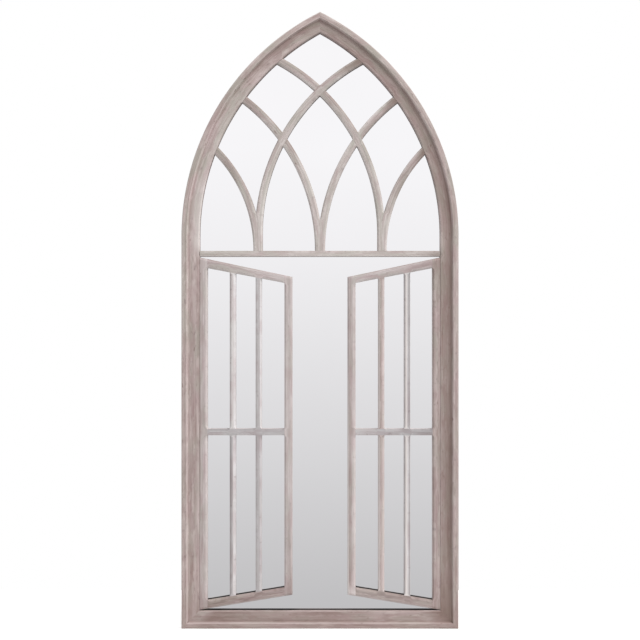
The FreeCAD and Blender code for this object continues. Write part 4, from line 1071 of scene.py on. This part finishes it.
backing_places = [(side * SILL_SCREW, SCREW_INSET) for side in SIDES.values()]
hanger_places = []
for side in SIDES.values():
    backing_places += [(side * (HALF_WIDTH - SCREW_INSET), up) for up in JAMB_SCREWS]
    screw_radius = ARCH_RADIUS - SCREW_INSET
    backing_places += arch_line(side, screw_radius, screw_radius * np.radians(ARCH_SCREWS)).tolist()
    hanger_places += [(side * HANGER_ACROSS, up) for up in HANGER_SCREWS]
for name, places, seat, grip in (
    ("backing_screws", backing_places, -FRAME_BACK, BACKING_GRIP),
    ("hanger_screws", hanger_places, STRAP_BACK, HANGER_GRIP),
):
    centres = [(across, seat, up) for across, up in places]
    screw_turns = chance.uniform(0, math.pi / 2, len(centres))
    screw_mesh = turned(name + "_zinc", centres, screw_turns, *pan_screw(grip))
    show(screw_mesh, zinc, name)

# Each ring of a bumper: its radius and its distance behind the frame.
BUMPER_RINGS = np.array([
    (11.7, 0), (12, 0.3), (11.7, 1.5), (10.7, 6), (10.3, 7.3), (9.9, 8), (9.2, 8.4), (8.4, 8.5),
    (5, 8.4),
])
bumper_centres = [(side * HANGER_ACROSS, -FRAME_BACK, BUMPER_UP) for side in SIDES.values()]
bumper_radius = np.repeat(BUMPER_RINGS[:, :1], BUMPER_COLUMNS, axis=1)
bumper_mesh = turned("wall_bumpers_rubber", bumper_centres, [0, 0], bumper_radius, BUMPER_RINGS[:, 1])
show(bumper_mesh, rubber, "wall_bumpers")


# CAD nodes that stay

# Finish of each kind of node, by the last word of its name.
FINISHES = {
    "glass": mirror,
    "board": hardboard,
    "pads": foam,
    "tongue": plywood,
    "strap": zinc,
    "ring": zinc,
}
for name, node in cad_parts.items():
    finish = FINISHES.get(name.split("_")[-1])
    if finish:
        node.data.materials.clear()
        node.data.materials.append(finish)


# Studio: camera, light, background and floor

def ray_kinds(tree):
    """Sockets that tell the camera's own rays, and those that a mirror or glass sends on."""
    path = add_node(tree, "ShaderNodeLightPath").outputs
    sent_on = add_node(tree, "ShaderNodeMath", {
        0: path["Is Glossy Ray"],
        1: path["Is Transmission Ray"],
    }, operation="MAXIMUM").outputs[0]
    return path["Is Camera Ray"], sent_on


scene = bpy.context.scene
scene.view_settings.view_transform = "Standard"

# The camera looks straight at the mirror. Its place follows from how much of each edge's side shows.
VIEW_WIDTH = 1.8653
VIEW_MIDDLE = 0.9003
EYE = (0, -6.23, 0.96)
lens = bpy.data.cameras.new("camera")
lens.sensor_width = 36
lens.lens = lens.sensor_width * (-RIM_FRONT * MM - EYE[1]) / VIEW_WIDTH
lens.shift_y = (VIEW_MIDDLE - EYE[2]) / VIEW_WIDTH
camera = bpy.data.objects.new("camera", lens)
camera.location = EYE
camera.rotation_euler = (math.pi / 2, 0, 0)
scene.collection.objects.link(camera)
scene.camera = camera

# A large soft box to the right and above, aimed at the mirror.
LAMP_PLACE, LAMP_AIM = Vector((5.0, -3.5, 7.5)), Vector((0, 0, 1.0))
LAMP_SIZE, LAMP_POWER = 4.5, 695
lamp = bpy.data.lights.new("soft box", "AREA")
lamp.shape = "SQUARE"
lamp.size = LAMP_SIZE
lamp.energy = LAMP_POWER
box = bpy.data.objects.new("soft box", lamp)
box.location = LAMP_PLACE
box.rotation_euler = (LAMP_AIM - LAMP_PLACE).to_track_quat("-Z", "Y").to_euler()
box.visible_glossy = False
scene.collection.objects.link(box)

# A pale room all round. The mirror shows it darker towards the floor: each row is the height of a
# direction and its grey, with a little more blue. The camera sees white, and the wood is lit evenly.
ROOM_REACH = 0.3
ROOM_GREYS = ((-0.141, 0.555), (-0.061, 0.745), (-0.005, 0.866), (0.025, 0.926), (0.07, 0.979))
ROOM_FLOOR = (0.45, 0.45, 0.45, 1)
COOL = 1.012
AMBIENT = (0.66, 0.66, 0.66, 1)
WHITE = (1, 1, 1, 1)
world = bpy.data.worlds.new("studio")
scene.world = world
world.use_nodes = True
sky = world.node_tree
camera_ray, mirrored_ray = ray_kinds(sky)
direction = add_node(sky, "ShaderNodeTexCoord").outputs["Generated"]
rise = add_node(sky, "ShaderNodeSeparateXYZ", {"Vector": direction}).outputs["Z"]
position = add_node(sky, "ShaderNodeMapRange", {
    "Value": rise,
    "From Min": -ROOM_REACH,
    "From Max": ROOM_REACH,
})
room = add_node(sky, "ShaderNodeValToRGB", {"Fac": position.outputs["Result"]})
stops = room.color_ramp.elements
for height, grey in ROOM_GREYS:
    stops.new((height + ROOM_REACH) / (2 * ROOM_REACH)).color = (grey, grey, COOL * grey, 1)
stops[0].color = ROOM_FLOOR
stops[-1].color = WHITE
around = add_node(sky, "ShaderNodeMix", {0: mirrored_ray, 6: AMBIENT, 7: room.outputs["Color"]},
                  data_type="RGBA").outputs[2]
seen = add_node(sky, "ShaderNodeMix", {0: camera_ray, 6: around, 7: WHITE},
                data_type="RGBA").outputs[2]
sky.links.new(seen, sky.nodes["Background"].inputs["Color"])

# The floor's glow brings it up to white where it is lit, and leaves the object's shadow on it.
FLOOR_GLOW = 0.5
FLOOR_CORNERS = [(-1.2, -0.25, 0), (1.2, -0.25, 0), (1.2, 0.8, 0), (-1.2, 0.8, 0)]
floor_mesh = bpy.data.meshes.new("floor")
floor_mesh.from_pydata(FLOOR_CORNERS, [], [(0, 1, 2, 3)])
floor = bpy.data.objects.new("floor", floor_mesh)
scene.collection.objects.link(floor)
floor_paint = bpy.data.materials.new("matt white paint")
floor_paint.use_nodes = True
paint = floor_paint.node_tree
paint.nodes.clear()
camera_ray, mirrored_ray = ray_kinds(paint)
matt = add_node(paint, "ShaderNodeBsdfDiffuse", {"Color": colour("#F4F4F4")})
glow_share = add_node(paint, "ShaderNodeMath", {0: camera_ray, 1: FLOOR_GLOW},
                      operation="MULTIPLY").outputs[0]
glow = add_node(paint, "ShaderNodeEmission", {"Strength": glow_share})
lit = add_node(paint, "ShaderNodeAddShader", {0: matt.outputs[0], 1: glow.outputs[0]})
clear = add_node(paint, "ShaderNodeBsdfTransparent")
either = add_node(paint, "ShaderNodeMixShader", {
    0: mirrored_ray,
    1: lit.outputs[0],
    2: clear.outputs[0],
})
add_node(paint, "ShaderNodeOutputMaterial", {"Surface": either.outputs[0]})
floor_mesh.materials.append(floor_paint)
